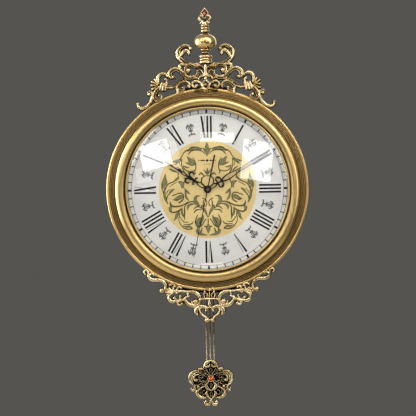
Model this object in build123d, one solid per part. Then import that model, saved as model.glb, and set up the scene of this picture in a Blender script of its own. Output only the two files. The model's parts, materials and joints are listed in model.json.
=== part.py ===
"""Pendulum wall clock: brass bezel and openwork crests, quartz movement, three-rod pendulum.

Frame: origin at the centre of the keyhole that takes the wall hook, on the wall plane.
+Z is up, +X is to the viewer's right and -Y points out of the wall towards the viewer.
Flat shapes are drawn in dial coordinates (x, z) in mm, measured from the dial's centre.
Depths are distances from the wall, so a depth of 30 lies at y = -30.
"""
from build123d import *
import math
import os

# ---------------------------------------------------------------- driving dimensions, mm
BEZEL_R = 175.0            # outer radius of the round case
DIAL_OPEN_R = 139.0        # radius of the visible dial
HOOK_ABOVE_DIAL = 126.0    # wall hook above the dial's centre

# depths from the wall
PLATE_D = 2.0              # hanger plate and wall pads
FLANGE_D = 4.5             # front of the housing's rear flange
EAR_D = 23.5               # back of the housing's ears and the crest lugs
BEZEL_BACK_D = 26.0
DIAL_BACK_D = 29.5
DIAL_FRONT_D = 30.5
GLASS_BACK_D = 36.3
GLASS_FRONT_D = 38.5
GLASS_SAG = 10.4           # how far the glass bulges at its centre
GLASS_EDGE_R = 142.8
BORE_R = 143.3             # bore of the bezel
TORUS_R = 151.0            # radius of the large half-round moulding
TORUS_D = 37.0
TORUS_HALF = 9.0
CREST_BACK_D = 31.0
CREST_FRONT_D = 38.5
CHANNEL_D = 33.6           # floor of the bezel's reeded channel
REED_RADII = (162.2, 164.9, 167.6)
REED_HALF = 1.1
BEAD_R = 172.2             # middle of the bezel's outer bead
BEAD_HALF = 2.7
BEAD_TOP_D = 35.8          # front of the bezel's outer bead
HOLLOW_R = 151.6           # middle of the hollow behind the large moulding
HOLLOW_HALF = 6.0
HOLLOW_D = 31.4            # bottom of the hollow behind the channel
DIAL_R = 142.5
DISC_R = 84.4              # champagne disc in the dial's centre
DISC_FRONT_D = 30.8
WEB_R = 180.0              # outer radius of the web behind each crest
WEB_GAP = 0.3              # clearance between a crest and the bezel's edge
WEB_T = 3.0
SCREW_R = 165.5            # radius of the circle of case screws
SCREW_TIP_D = 31.0
SCREW_HEAD_R = 3.2
SCREW_HEAD_T = 1.6
SCREW_SHANK_R = 1.28
SCREW_HOLE_R = 1.7         # clearance hole for a case screw
BOSS_R = 4.0               # boss behind the bezel for a case screw
TAPPED_R = 1.3
HOUSING_R = 143.0          # outer radius of the rear housing
HOUSING_WALL = 2.7
BACK_RING_R = 110.0        # inner radius of the housing's back ring
SLOT_HALF_W = 27.0         # pendulum slot
SLOT_TOP = -100.0
SLOT_D = 14.0
BRACKET_END_R = 172.0
BRACKET_W = 13.0
BRACKET_T = 2.0
BRACKET_LEG = 10.0
LUG_X = 38.0               # crest lugs, left and right of the centre
LUG_HALF_W = 5.0

# keyhole plate
HANGER_W = 44.0
HANGER_H = 30.0
HANGER_ABOVE = 1.0         # middle of the plate above the keyhole's round hole
KEYHOLE_R = 4.5
KEY_SLOT_HALF = 2.25
KEY_SLOT_RISE = 9.0
HANGER_SCREW_X = 17.0
PAD_R = 7.0
PAD_CIRCLE_R = 126.5

# movement
MOV_HALF_W = 28.0
MOV_TOP = 31.0
MOV_BOTTOM = -86.0
MOV_BACK_D = 11.5
COVER_D = 12.6
MOV_WALL_D = 27.4          # inner face of the case's front wall
MOV_FRONT_D = 28.9
WALL = 1.4
PLATE_LO_D = 18.5          # middle plate
PLATE_HI_D = 19.3
BATTERY_Z = 22.0
BATTERY_D = 19.2
BATTERY_R = 7.25
BATTERY_L = 50.5

# gears: teeth and modules
CENTRE_DIST_THIRD = 10.08  # seconds axis to third wheel
CENTRE_DIST_FIFTH = 7.7
CENTRE_DIST_ROTOR = 7.2
CENTRE_DIST_MINUTE = 8.4
THIRD_AT = (CENTRE_DIST_THIRD, 0.0)
FIFTH_AT = (-CENTRE_DIST_FIFTH, 0.0)
ROTOR_ANGLE = 200.0
ROTOR_AT = (
    FIFTH_AT[0] + CENTRE_DIST_ROTOR * math.cos(math.radians(ROTOR_ANGLE)),
    FIFTH_AT[1] + CENTRE_DIST_ROTOR * math.sin(math.radians(ROTOR_ANGLE)),
)
MINUTE_AT = (0.0, -CENTRE_DIST_MINUTE)
SETTING_AT = (0.0, -2 * CENTRE_DIST_MINUTE)
RUNNING = 0.06             # radial running clearance
ARBOR_R = 0.5              # seconds and third arbors
FINE_ARBOR_R = 0.35        # rotor and fifth arbors
ARBOR_BACK_D = 11.9        # arbors start inside the cover
TUBE_R = 1.55              # tube of the centre wheel, which carries the minute hand
HOUR_TUBE_R = 2.5
SETTING_R = 1.4
POST_R = 0.6               # post of the minute wheel
BUSH_R = 3.85
DIAL_HOLE_R = 3.95
PIVOT_R = 1.0
DRIVE_COIL_R = 8.5

# pendulum
PIVOT_Z = -40.0
MAGNET_Z = -70.0
PEG_Z = -80.0
ROD_D = 9.2
ROD_R = 1.2
ROD_PITCH = 6.4
ROD_TOP = -93.0
ROD_END = -306.0
GEM_Z = -329.5
BOB_BACK_D = 10.6
BOB_FRONT_D = 15.0
BOB_PLATE_T = 0.9
GEM_R = 4.4

# finial
FINIAL_D = 34.75
ROD_HOLE_R = 2.05

# angles of the hands at rest, clockwise from twelve
HOUR_ANGLE = 304.2
MINUTE_ANGLE = 59.5
SECOND_ANGLE = 192.5

DIAL_Z = -HOOK_ABOVE_DIAL
NODES = {}


# ---------------------------------------------------------------- helpers
def front(d):
    """Plane parallel to the dial at depth d, with its origin on the dial's axis."""
    return Plane(origin=(0, -d, DIAL_Z), x_dir=(1, 0, 0), z_dir=(0, -1, 0))


def slab(shape, d0, d1):
    """A flat shape made solid between two depths."""
    return extrude(front(d0) * shape, amount=d1 - d0)


def disc(at, r, d0, d1):
    return slab(Pos(at[0], at[1]) * Circle(r), d0, d1)


def box(x0, x1, z0, z1, d0, d1):
    """A block between two x, two z (dial coordinates) and two depths."""
    middle = Pos((x0 + x1) / 2, (z0 + z1) / 2)
    return slab(middle * Rectangle(x1 - x0, z1 - z0), d0, d1)


def turned(face, at=(0.0, 0.0)):
    """Turns a section (radius, depth) about an axis that stands out of the dial."""
    section = Plane(origin=(at[0], 0, DIAL_Z + at[1]), x_dir=(1, 0, 0), z_dir=(0, 0, -1))
    axis = Axis((at[0], 0, DIAL_Z + at[1]), (0, 1, 0))
    return revolve(section * face, axis)


def upright(points):
    """Turns a closed outline of (radius, z) about the finial's vertical axis."""
    section = Plane(origin=(0, -FINIAL_D, DIAL_Z), x_dir=(1, 0, 0), z_dir=(0, -1, 0))
    axis = Axis((0, -FINIAL_D, 0), (0, 0, 1))
    return revolve(section * make_face(Polyline(*points, close=True)), axis)


def width_at(widths, t):
    """Width part of the way t along a strip, from widths that are evenly spaced."""
    place = t * (len(widths) - 1)
    i = min(int(place), len(widths) - 2)
    return widths[i] + (widths[i + 1] - widths[i]) * (place - i)


def strip(points, widths):
    """A tapered strip along a smooth line, with round ends: one scroll of a casting."""
    path = Spline(*points)
    steps = 3 * (len(points) - 1)
    left = []
    right = []
    for i in range(steps + 1):
        t = i / steps
        along = path % t
        side = Vector(-along.Y, along.X) * (width_at(widths, t) / 2)
        left.append(path @ t + side)
        right.append(path @ t - side)
    tip = path @ 1 + (path % 1) * (widths[-1] / 2)
    tail = path @ 0 - (path % 0) * (widths[0] / 2)
    edges = [
        Spline(*left),
        ThreePointArc(left[-1], tip, right[-1]),
        Spline(*reversed(right)),
        ThreePointArc(right[0], tail, left[0]),
    ]
    return make_face(edges)


def ball(x, z, r):
    return Pos(x, z) * Circle(r)


def mirrored(shapes):
    """Shapes of the right half together with their mirror images."""
    return shapes + [mirror(s, Plane.YZ) for s in shapes]


def joined(shapes):
    return Sketch() + shapes


def keep(name, shape):
    """Stores a node, as one solid or as a group of separate solids."""
    shape.label = name
    NODES[name] = shape


def group(solids):
    return Compound(children=[s.solid() for s in solids])


def on_circle(r, angle):
    """Point at radius r, angle in degrees anticlockwise from +X, dial coordinates."""
    return (r * math.cos(math.radians(angle)), r * math.sin(math.radians(angle)))


def screw(at, head_d, head_r, tip_d, shank_r):
    """A screw driven from behind: pan head nearest the wall, with a cross slot."""
    x, z = at
    head = disc(at, head_r, head_d, head_d + SCREW_HEAD_T)
    shank = disc(at, shank_r, head_d + SCREW_HEAD_T, tip_d)
    slot = 0.28 * head_r
    reach = 0.7 * head_r
    bottom_d = head_d + SCREW_HEAD_T / 2
    cross = box(x - slot, x + slot, z - reach, z + reach, head_d, bottom_d)
    cross += box(x - reach, x + reach, z - slot, z + slot, head_d, bottom_d)
    return head + shank - cross


def case_screw(at):
    """Screw into one of the bosses behind the bezel."""
    return screw(at, EAR_D - SCREW_HEAD_T, SCREW_HEAD_R, SCREW_TIP_D, SCREW_SHANK_R)


# ---------------------------------------------------------------- case
def bezel():
    """Pressed brass bezel: lip, half-round moulding, reeded channel, outer bead, open behind."""
    lip_r = TORUS_R - math.sqrt(TORUS_HALF**2 - 3.3**2)
    lip_d = TORUS_D + 3.3
    channel_r = TORUS_R + TORUS_HALF
    outline = [
        Line((BORE_R, BEZEL_BACK_D), (BORE_R, GLASS_FRONT_D)),
        Line((BORE_R, GLASS_FRONT_D), (DIAL_OPEN_R, GLASS_FRONT_D)),
        Line((DIAL_OPEN_R, GLASS_FRONT_D), (DIAL_OPEN_R, lip_d)),
        Line((DIAL_OPEN_R, lip_d), (lip_r, lip_d)),
        ThreePointArc((lip_r, lip_d), (TORUS_R, TORUS_D + TORUS_HALF), (channel_r, TORUS_D)),
        Line((channel_r, TORUS_D), (channel_r, CHANNEL_D)),
        Line((channel_r, CHANNEL_D), (BEAD_R - BEAD_HALF, CHANNEL_D)),
        ThreePointArc((BEAD_R - BEAD_HALF, CHANNEL_D), (BEAD_R, BEAD_TOP_D), (BEZEL_R, 33.0)),
        Line((BEZEL_R, 33.0), (BEZEL_R, BEZEL_BACK_D)),
        Line((BEZEL_R, BEZEL_BACK_D), (BORE_R, BEZEL_BACK_D)),
    ]
    section = make_face(outline)
    for r in REED_RADII:
        section += ball(r, CHANNEL_D, REED_HALF)
    hollow_lo = BEZEL_BACK_D - 1
    deep = Rectangle(2 * HOLLOW_HALF, TORUS_D - hollow_lo)
    hollow = Pos(HOLLOW_R, (hollow_lo + TORUS_D) / 2) * deep
    hollow += ball(HOLLOW_R, TORUS_D, HOLLOW_HALF)
    shallow = Rectangle(17.4, HOLLOW_D - hollow_lo)
    hollow += Pos(163.9, (hollow_lo + HOLLOW_D) / 2) * shallow
    case = turned(section - hollow)
    for at in CASE_SCREWS + TOP_LUGS + BOTTOM_LUGS:
        case += disc(at, BOSS_R, BEZEL_BACK_D, 32.0)
        case -= disc(at, TAPPED_R, BEZEL_BACK_D, SCREW_TIP_D + 0.5)
    return case


def pendulum_slot():
    """The room that the rods swing through, cut from the housing below the movement."""
    return box(-SLOT_HALF_W, SLOT_HALF_W, -BEZEL_R, SLOT_TOP, 0, SLOT_D)


def rear_housing():
    """Round wall of the housing, moulded in plastic, with the pendulum's slot below."""
    return ring(HOUSING_R, HOUSING_R - HOUSING_WALL, FLANGE_D, DIAL_BACK_D) - pendulum_slot()


def housing_back_ring():
    """Flat ring behind the housing, with a window for the wall hook's head."""
    plate = ring(HOUSING_R, BACK_RING_R, PLATE_D, FLANGE_D)
    plate -= box(-11, 11, HOOK_ABOVE_DIAL - 10, HOOK_ABOVE_DIAL + 14, PLATE_D, FLANGE_D)
    for at in HANGER_SCREWS:
        plate -= disc(at, 1.1, PLATE_D, FLANGE_D)
    return plate - pendulum_slot()


def case_bracket(angle):
    """Angle bracket: one leg up the housing's wall, the other out to a screw in the bezel."""
    foot = Pos((HOUSING_R + BRACKET_END_R) / 2, 0) * Rectangle(BRACKET_END_R - HOUSING_R, BRACKET_W)
    leg = Pos(HOUSING_R + BRACKET_T / 2, 0) * Rectangle(BRACKET_T + 1.0, BRACKET_W)
    body = slab(Rot(0, 0, angle) * foot, EAR_D, BEZEL_BACK_D)
    body += slab(Rot(0, 0, angle) * leg, EAR_D - BRACKET_LEG, BEZEL_BACK_D)
    body -= disc((0, 0), HOUSING_R, EAR_D - BRACKET_LEG, BEZEL_BACK_D)
    return body - disc(on_circle(SCREW_R, angle), SCREW_HOLE_R, EAR_D, BEZEL_BACK_D)


def dome_rise(span, rise):
    """Height of a spherical cap half way out from its centre, above its edge."""
    radius = (span**2 + rise**2) / (2 * rise)
    return math.sqrt(radius**2 - (span / 2)**2) - (radius - rise)


def glass_dome():
    """Convex mineral glass with a flat rim."""
    span = DIAL_OPEN_R - 0.1
    half_r = span / 2
    half_rise = dome_rise(span, GLASS_SAG)
    outline = [
        Line((0, GLASS_BACK_D + GLASS_SAG), (0, GLASS_FRONT_D + GLASS_SAG)),
        ThreePointArc((0, GLASS_FRONT_D + GLASS_SAG), (half_r, GLASS_FRONT_D + half_rise),
                      (span, GLASS_FRONT_D)),
        Line((span, GLASS_FRONT_D), (GLASS_EDGE_R, GLASS_FRONT_D)),
        Line((GLASS_EDGE_R, GLASS_FRONT_D), (GLASS_EDGE_R, GLASS_BACK_D)),
        Line((GLASS_EDGE_R, GLASS_BACK_D), (span, GLASS_BACK_D)),
        ThreePointArc((span, GLASS_BACK_D), (half_r, GLASS_BACK_D + half_rise),
                      (0, GLASS_BACK_D + GLASS_SAG)),
    ]
    return turned(make_face(outline))


def ring(r_out, r_in, d0, d1, at=(0.0, 0.0)):
    return disc(at, r_out, d0, d1) - disc(at, r_in, d0, d1)


def hanger_plate():
    """Steel keyhole plate: a round hole for the hook's head and a slot above it."""
    z = HOOK_ABOVE_DIAL
    plate = slab(Pos(0, z + HANGER_ABOVE) * RectangleRounded(HANGER_W, HANGER_H, 3), 0, PLATE_D)
    plate -= disc((0, z), KEYHOLE_R, 0, PLATE_D)
    plate -= box(-KEY_SLOT_HALF, KEY_SLOT_HALF, z, z + KEY_SLOT_RISE, 0, PLATE_D)
    plate -= disc((0, z + KEY_SLOT_RISE), KEY_SLOT_HALF, 0, PLATE_D)
    for at in HANGER_SCREWS:
        plate -= disc(at, 1.6, 0, PLATE_D)
    return plate


def hanger_screw(at):
    """Countersunk-style screw kept flush with the wall side of the hanger plate."""
    return disc(at, 1.5, 0.3, PLATE_D) + disc(at, 1.0, PLATE_D, FLANGE_D + 1.0)


# ---------------------------------------------------------------- openwork castings
def top_crest_shapes():
    """Right half of the top crest: scrolls as strips, buds as balls, dial coordinates."""
    return [
        strip([(26, 243.5), (29, 247.3), (34, 249), (40, 247), (45, 242.5), (47, 237), (46, 230.5),
               (43, 225), (38.5, 221), (33, 218.5), (26, 217.5)],
              [5.5, 3.2, 3.4, 4, 5, 6, 6.5, 6, 5, 4, 3]),
        strip([(44, 229), (40.5, 234), (37, 239), (32.5, 240.5), (29, 238), (28.4, 234)],
              [4, 4.5, 5, 5, 4, 3]),
        strip([(30, 216.5), (37, 216), (42, 216.5), (45, 213.5), (43.5, 209.5)], [3, 3.5, 5, 5, 4]),
        strip([(0, 210), (4, 210.5), (8, 213), (12, 213), (16, 212), (20, 213.5), (25, 216),
               (30, 215), (34, 211.5), (35.3, 207), (33.6, 203), (30, 202)],
              [4, 4, 4, 4.2, 4.2, 4.5, 4.6, 4.6, 4.2, 3.6, 3.2, 3]),
        ball(30, 206, 4.2),
        strip([(10, 215.5), (15, 217), (21, 216.5)], [4, 3.6, 3.4]),
        strip([(14.5, 204), (13.6, 200.5), (16, 196.8), (21, 194.2), (27, 193.3), (33, 195),
               (38, 199.5), (42, 204), (47, 207.5), (52.5, 208.6), (58, 206.5), (61.5, 202),
               (62, 197.5), (59, 194.5), (54, 194)],
              [4, 4.4, 4.8, 5.2, 5.4, 5.6, 5.6, 5.4, 5.4, 5.6, 6, 6.4, 6.4, 5, 3]),
        ball(64.3, 196.6, 3.4),
        strip([(66, 196.5), (69.5, 200), (75, 201.3), (79.5, 199), (82.2, 195), (82.8, 190.5), (82, 185)],
              [4.5, 3.8, 4.4, 4.8, 4.8, 4.6, 4.4]),
        ball(68.8, 190.8, 3.4),
        strip([(67, 190), (68, 186), (68, 182)], [3, 3, 3.4]),
        strip([(83, 182.5), (85.5, 186.7), (88, 191)], [1.8, 3.4, 4.2]),
        strip([(83, 182.5), (88, 184.7), (92.7, 187)], [1.8, 3.4, 4.4]),
        strip([(83, 182), (88, 181.5), (93.4, 181)], [1.8, 3.4, 4.4]),
        strip([(82, 181), (87, 177.6), (92.3, 174.6)], [1.8, 3.4, 4.4]),
        strip([(67.3, 184), (69.2, 178.3), (70.2, 172.5)], [3.6, 4, 3.4]),
        strip([(71.5, 183.3), (73.6, 178), (75, 172.5)], [3.6, 4, 3.4]),
        strip([(76, 184), (78, 178.8), (79.3, 174)], [3.8, 4.2, 3.6]),
        strip([(68, 178.3), (84, 179.6)], [5, 5]),
        strip([(66.5, 178), (60, 178), (54, 179.6), (48, 183.6), (42, 188), (36, 190.8), (31, 191)],
              [5, 5, 5, 4.4, 4, 3.4, 3]),
        strip([(80, 177), (84.5, 173), (88.3, 167), (90, 160.5), (87.4, 156.2), (82.5, 155),
               (78.4, 158), (78.2, 162.4), (81.6, 164)],
              [4.5, 5.2, 5.6, 5.4, 4.6, 4.2, 3.8, 3.5, 3.4]),
        strip([(87, 167), (92.5, 166.4), (98.5, 165.6)], [4, 4, 5.6]),
        strip([(93, 167), (96, 170.6), (100.4, 169.4)], [3, 2.8, 2.6]),
        strip([(92, 168), (93, 160), (96, 152), (102, 145.4), (109.6, 142), (116, 143.6), (118, 149)],
              [4, 4.2, 4.6, 5, 4.6, 4, 4.4]),
        strip([(29.3, 177.5), (29.2, 181.6), (32.6, 185), (38.2, 185.9), (43.6, 183.6), (47.6, 179.4),
               (49, 174.5), (46.5, 171), (42, 170.6), (39, 173), (38.6, 176.6)],
              [5, 4.8, 5, 4.8, 5, 5, 4.6, 4.2, 3.8, 3.6, 3.6]),
        strip([(48.5, 174), (49, 166)], [4, 4.6]),
        strip([(4, 180), (10, 184.5), (14.5, 187), (19, 187), (22.6, 184), (23.4, 180.2), (20.6, 177.3),
               (16.5, 177.8), (15, 180)],
              [3, 3.4, 3.6, 3.8, 3.6, 3.4, 3.8, 4, 4]),
        strip([(24, 182), (29, 180)], [3, 4]),
        strip([(4, 196), (9, 195), (12, 191)], [4, 3.4, 4.6]),
        strip([(12, 192), (20, 194)], [3.4, 3.4]),
        strip([(2, 196.5), (5.4, 202), (8.5, 206.6), (12.6, 206)], [3, 2.4, 2.4, 2.2]),
        strip([(12, 206), (14.6, 203.5)], [2.4, 3]),
        strip([(0, 189), (4.5, 185), (7.5, 181), (4.5, 177), (0, 173)], [3.4, 3, 3.4, 3, 3.4]),
        strip([(0, 171), (8, 173), (14, 171), (20, 170.5)], [8, 6, 5, 3]),
    ]


def top_crest():
    """Top crest: pierced casting that stands over the bezel, with two lugs behind it."""
    shapes = mirrored(top_crest_shapes())
    spindle = [(-4.5, 217), (-4.5, 205), (-3.6, 196), (-4.5, 192), (-2.5, 188.5), (2.5, 188.5),
               (4.5, 192), (3.6, 196), (4.5, 205), (4.5, 217)]
    shapes.append(make_face(Polyline(*spindle, close=True)))
    casting = slab(joined(shapes), CREST_BACK_D, CREST_FRONT_D)
    casting -= box(-12, 12, 217, 232, CREST_BACK_D, CREST_FRONT_D)
    web = Circle(WEB_R) - Circle(BEZEL_R + WEB_GAP)
    web &= Pos(0, 165) * Rectangle(150, 60)
    casting += slab(web, CREST_BACK_D, CREST_BACK_D + WEB_T)
    casting -= disc((0, 0), BEZEL_R + WEB_GAP, CREST_BACK_D, BEAD_TOP_D + 0.2)
    for x, z in TOP_LUGS:
        casting += lug(x, z, 1)
    bore = Plane(origin=(0, -FINIAL_D, DIAL_Z + 203.0), z_dir=(0, 0, 1))
    casting -= extrude(bore * Circle(ROD_HOLE_R), amount=20)
    return casting


def lug(x, z, side):
    """A strap from the casting's back edge to a screw behind the bezel; side is +1 above."""
    left = x - LUG_HALF_W
    right = x + LUG_HALF_W
    reach = math.sqrt((BEZEL_R + 4.0)**2 - x**2) * side
    lo, hi = sorted((z - LUG_HALF_W * side, reach))
    strap = box(left, right, lo, hi, EAR_D, BEZEL_BACK_D)
    near = math.sqrt((BEZEL_R + 2 * WEB_GAP)**2 - (abs(x) - LUG_HALF_W)**2) * side
    lo, hi = sorted((near, reach))
    strap += box(left, right, lo, hi, BEZEL_BACK_D, CREST_BACK_D + 1.0)
    return strap - disc((x, z), SCREW_HOLE_R, EAR_D, BEZEL_BACK_D)


def bottom_crest_shapes():
    """Right half of the bottom crest, dial coordinates."""
    return [
        strip([(93, -145), (98, -144), (104, -145.5)], [4, 3.6, 3.6]),
        strip([(109.5, -145), (112.4, -140.8), (109.4, -137.4), (105.4, -139.4), (104.4, -144.6),
               (103.4, -150.4), (98.6, -154.2), (91, -154.8), (84.5, -155.2), (79, -157.8), (76, -162.5),
               (75, -168), (76.5, -172)],
              [2.6, 2.8, 3, 3.2, 3.8, 5, 5.6, 5.2, 4.8, 4.8, 4.6, 4.2, 4]),
        strip([(75, -172), (81.5, -174)], [4, 8.2]),
        strip([(63, -175), (68.8, -169.6)], [4, 3.4]),
        strip([(63.5, -176), (72.7, -171.6)], [4, 3.8]),
        strip([(64, -177), (75, -175.6)], [4, 3.8]),
        strip([(64, -178), (72.3, -180.6)], [4, 3.6]),
        strip([(65, -178), (69.2, -182.6), (69.8, -188), (66.6, -191.8), (61.8, -192.6), (58.4, -189.8),
               (60.2, -186)],
              [3.4, 3.4, 4.4, 5, 4.6, 4, 3.8]),
        strip([(58.6, -166.4), (60.6, -163.2), (64, -162.2), (68, -164.2)], [3.8, 3.8, 3.8, 4.2]),
        strip([(48.4, -168.8), (51.4, -167), (54.6, -169), (55.4, -174)], [3.8, 3.6, 3.6, 3.6]),
        strip([(55, -174), (64, -176)], [4.6, 4.6]),
        strip([(60, -165), (62, -170), (63, -176)], [3.4, 3.2, 4]),
        strip([(57, -178), (52.5, -175), (47.5, -174.8), (40, -175.8), (32, -176), (25.5, -177.2),
               (20.5, -180.4), (17.6, -184.6), (16, -189)],
              [4.4, 4.8, 4.4, 4, 4.4, 5, 5.2, 4.6, 4]),
        strip([(36, -184), (40.5, -185.6), (44.5, -188.8), (49.5, -190.8), (54, -192.8), (54.4, -196.4),
               (51.4, -198.8), (47.8, -197)],
              [4, 3.8, 3.8, 4, 4.2, 4, 4, 4.4]),
        strip([(50, -183.6), (51.5, -191)], [4.6, 3.4]),
        strip([(52, -190), (60, -192)], [4, 4]),
        strip([(43, -188.6), (39, -194.5), (34.6, -198.6), (28, -201), (20, -202.4)],
              [4, 5.2, 5.2, 4.4, 4.4]),
        strip([(38, -185), (37, -180), (36, -176)], [3, 3, 3.6]),
        strip([(17, -189), (17.4, -194), (20, -198.2), (25, -199.4), (29.4, -196.4), (29.8, -191.6),
               (26.4, -189), (23.4, -191.6)],
              [4, 4, 4.2, 4.2, 4, 3.6, 3.6, 4.4]),
        strip([(5, -188), (4.6, -178.5), (0, -174)], [3.4, 3.4, 3.6]),
        strip([(4, -177), (8, -176.2), (11.5, -178.4)], [3.4, 3.2, 3.4]),
        strip([(11.4, -178), (12, -183), (12, -188)], [3, 3, 3.4]),
        strip([(5, -177), (7, -173), (8, -168)], [3.4, 3.4, 5]),
        strip([(0, -187.6), (12, -187.8), (17, -190)], [3.8, 3.8, 5]),
        strip([(6.4, -209.4), (5.4, -205.6), (8.6, -202.6), (13.6, -201.8), (18.8, -203.2), (22.6, -206.8),
               (23.4, -211.6), (21, -216)],
              [3.6, 4.4, 5, 5, 5.6, 5.8, 5, 2.6]),
        strip([(15.6, -203), (17, -209.6), (13.4, -215.4), (8.4, -219.4), (4.6, -223)],
              [3, 3.2, 3.4, 3.4, 3.6]),
        ball(24.4, -193.4, 4.8),
        ball(14.8, -189.2, 3.0),
        ball(5.2, -225.3, 4.2),
        strip([(0, -225.3), (5, -225.3)], [3, 3]),
    ]


def bottom_crest():
    """Bottom crest: pierced casting below the bezel."""
    shapes = mirrored(bottom_crest_shapes())
    drop = make_face(Polyline((-2, -187), (-3.8, -197), (-3, -200.5), (0, -204), (3, -200.5),
                              (3.8, -197), (2, -187), close=True))
    neck = Pos(0, -203.6) * Rectangle(12, 3.4)
    casting = slab(joined(shapes + [drop, neck]), CREST_BACK_D, CREST_FRONT_D)
    web = Circle(WEB_R) - Circle(BEZEL_R + WEB_GAP)
    web &= Pos(0, -150) * Rectangle(210, 80)
    casting += slab(web, CREST_BACK_D, CREST_BACK_D + WEB_T)
    casting -= disc((0, 0), BEZEL_R + WEB_GAP, CREST_BACK_D, BEAD_TOP_D + 0.2)
    for x, z in BOTTOM_LUGS:
        casting += lug(x, z, -1)
    return casting


def bob_shapes():
    """Right half of the pendulum bob's openwork, dial coordinates."""
    return [
        strip([(0, -297.5), (5, -300.6), (9.5, -304), (12.4, -309)], [4, 4, 4, 4]),
        strip([(0, -306), (6, -305), (11, -308)], [7, 6, 4]),
        strip([(12, -309), (14, -312), (18, -312.2), (22, -314.4), (22, -319)], [4, 4, 4.4, 3.6, 3]),
        strip([(21, -319), (26.5, -317.8), (32.4, -319.4), (36, -324.2), (37, -329.6), (35.8, -335),
               (32, -339), (28, -341.5)],
              [3, 3.4, 3.4, 3.2, 3.2, 3.2, 3.4, 3.4]),
        strip([(21.5, -319.6), (27, -321.8), (31.6, -324.8), (33.4, -329), (31.6, -333.6), (28, -333)],
              [2.6, 2.8, 2.8, 2.8, 3.2, 3.8]),
        strip([(33, -330), (37, -331)], [3, 3]),
        strip([(24.4, -331.4), (27, -329.4), (33, -328.6)], [3, 2.8, 2.6]),
        strip([(12, -309), (8, -314), (3, -320), (0, -324.5)], [3, 2.2, 2.2, 2.6]),
        strip([(3, -325), (9, -320.6), (15.5, -318.6), (22, -319)], [2.6, 2.4, 2.4, 2.6]),
        strip([(5.4, -331.5), (9.4, -336), (13, -333.6)], [2.4, 2.2, 2.4]),
        strip([(12, -334), (18, -337.5), (22, -340)], [2.4, 2.4, 2.6]),
        strip([(20, -339.4), (24.5, -339.8), (28, -342.6)], [2.8, 2.8, 3]),
        ball(22.2, -342.4, 2.3),
        strip([(29.6, -340.5), (28.8, -345.4), (29.8, -350), (32.6, -351), (34.8, -347.4)],
              [3, 3.2, 3.2, 3.2, 2.8]),
        strip([(3.6, -335), (7.4, -341), (12, -345.6), (16, -346)], [3, 4, 3, 3]),
        strip([(15, -345.4), (20, -349.4), (24.2, -353.4), (24.4, -357.6), (20, -361), (12, -362.6),
               (7, -361)],
              [3.4, 3.6, 3.6, 3.6, 3.8, 3.6, 3]),
        strip([(24, -352), (29.5, -349)], [2.6, 2.8]),
        strip([(4, -335), (6, -343), (4, -349), (0, -352.4)], [2.6, 2.6, 2.6, 3]),
        strip([(0, -351.6), (5, -353), (8.4, -356), (9, -361)], [3, 4, 4.4, 3.6]),
        strip([(9, -360), (5, -365), (0, -370.4)], [3, 2.6, 3]),
        strip([(0, -369.4), (2.4, -374.4), (5.4, -377), (9, -376.4), (11, -373), (8.8, -370.2)],
              [3, 3.4, 4, 3.8, 3.4, 3.2]),
    ]


def bob_plate():
    """Right half of the thin plate behind the bob's scrolls, with a straight inner edge."""
    return make_face(Polyline(
        (0, -299), (9, -304.6), (12.6, -310.6), (20, -314.4), (24, -318.4), (31.6, -321.4), (35, -329),
        (33.4, -337), (29.4, -342), (27.6, -349.6), (24, -357), (17, -362.4), (8, -363), (4.4, -366.4),
        (0, -369.6), close=True))


def pendulum_bob():
    """Pendulum bob: scrolls standing on a thin plate, around a seat for the stone."""
    shapes = mirrored(bob_shapes()) + [ball(0, GEM_Z, 6.4)]
    casting = slab(joined(shapes), BOB_BACK_D, BOB_FRONT_D)
    return casting + slab(joined(mirrored([bob_plate()])), BOB_BACK_D, BOB_BACK_D + BOB_PLATE_T)


# ---------------------------------------------------------------- finial
def finial_topper():
    """Small openwork arrowhead with two side scrolls, on a turned foot."""
    half = [
        strip([(0, 312.4), (3.2, 308.6), (5.8, 304.6)], [3.4, 3, 2.6]),
        strip([(2.6, 300), (7, 299.8), (10.2, 296.4), (8.6, 292.4), (4, 290)], [3.4, 3, 2.8, 2.8, 3.4]),
        strip([(5.6, 305), (4, 300)], [2.6, 3]),
        strip([(0, 294.5), (3, 297.4), (6, 299.4)], [3, 2.2, 2.2]),
        strip([(0, 289), (6, 287.8)], [4, 4.2]),
    ]
    back = Pos(0, 303.2) * Circle(4.4)
    foot = make_face(Polyline((-3.4, 285.2), (-2.4, 296), (2.4, 296), (3.4, 285.2), close=True))
    flat = slab(joined(mirrored(half) + [back, foot]), FINIAL_D - 2.2, FINIAL_D + 2.2)
    flat += upright([(0, 285.2), (4.6, 285.2), (4.6, 287.4), (3.6, 290), (0, 290)])
    bore = Plane(origin=(0, -FINIAL_D, DIAL_Z + 285.0), z_dir=(0, 0, 1))
    return flat - extrude(bore * Circle(1.2), amount=6)


def diamond(x, z, half_w, half_h, d0, height):
    """Four-sided faceted stone standing on depth d0."""
    base = Polyline((x, z - half_h), (x + half_w, z), (x, z + half_h), (x - half_w, z), close=True)
    base_face = front(d0) * make_face(base)
    top = 0.35
    crown = Polyline((x, z - half_h * top), (x + half_w * top, z), (x, z + half_h * top),
                     (x - half_w * top, z), close=True)
    return loft([base_face, front(d0 + height) * make_face(crown)])


def finial_plinth():
    section = [(ROD_HOLE_R, 217), (11.4, 217), (11.4, 220.6), (10.6, 221.4), (10.6, 226), (11.7, 227),
               (11.7, 230), (10.4, 231), (ROD_HOLE_R, 231)]
    return upright(section)


def finial_neck():
    section = [(ROD_HOLE_R, 231), (6.6, 231), (4.4, 233.4), (3.6, 235.6), (4.6, 237.6), (8.6, 239.4),
               (8.6, 241.2), (6.0, 242.4), (ROD_HOLE_R, 242.4)]
    return upright(section)


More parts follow.
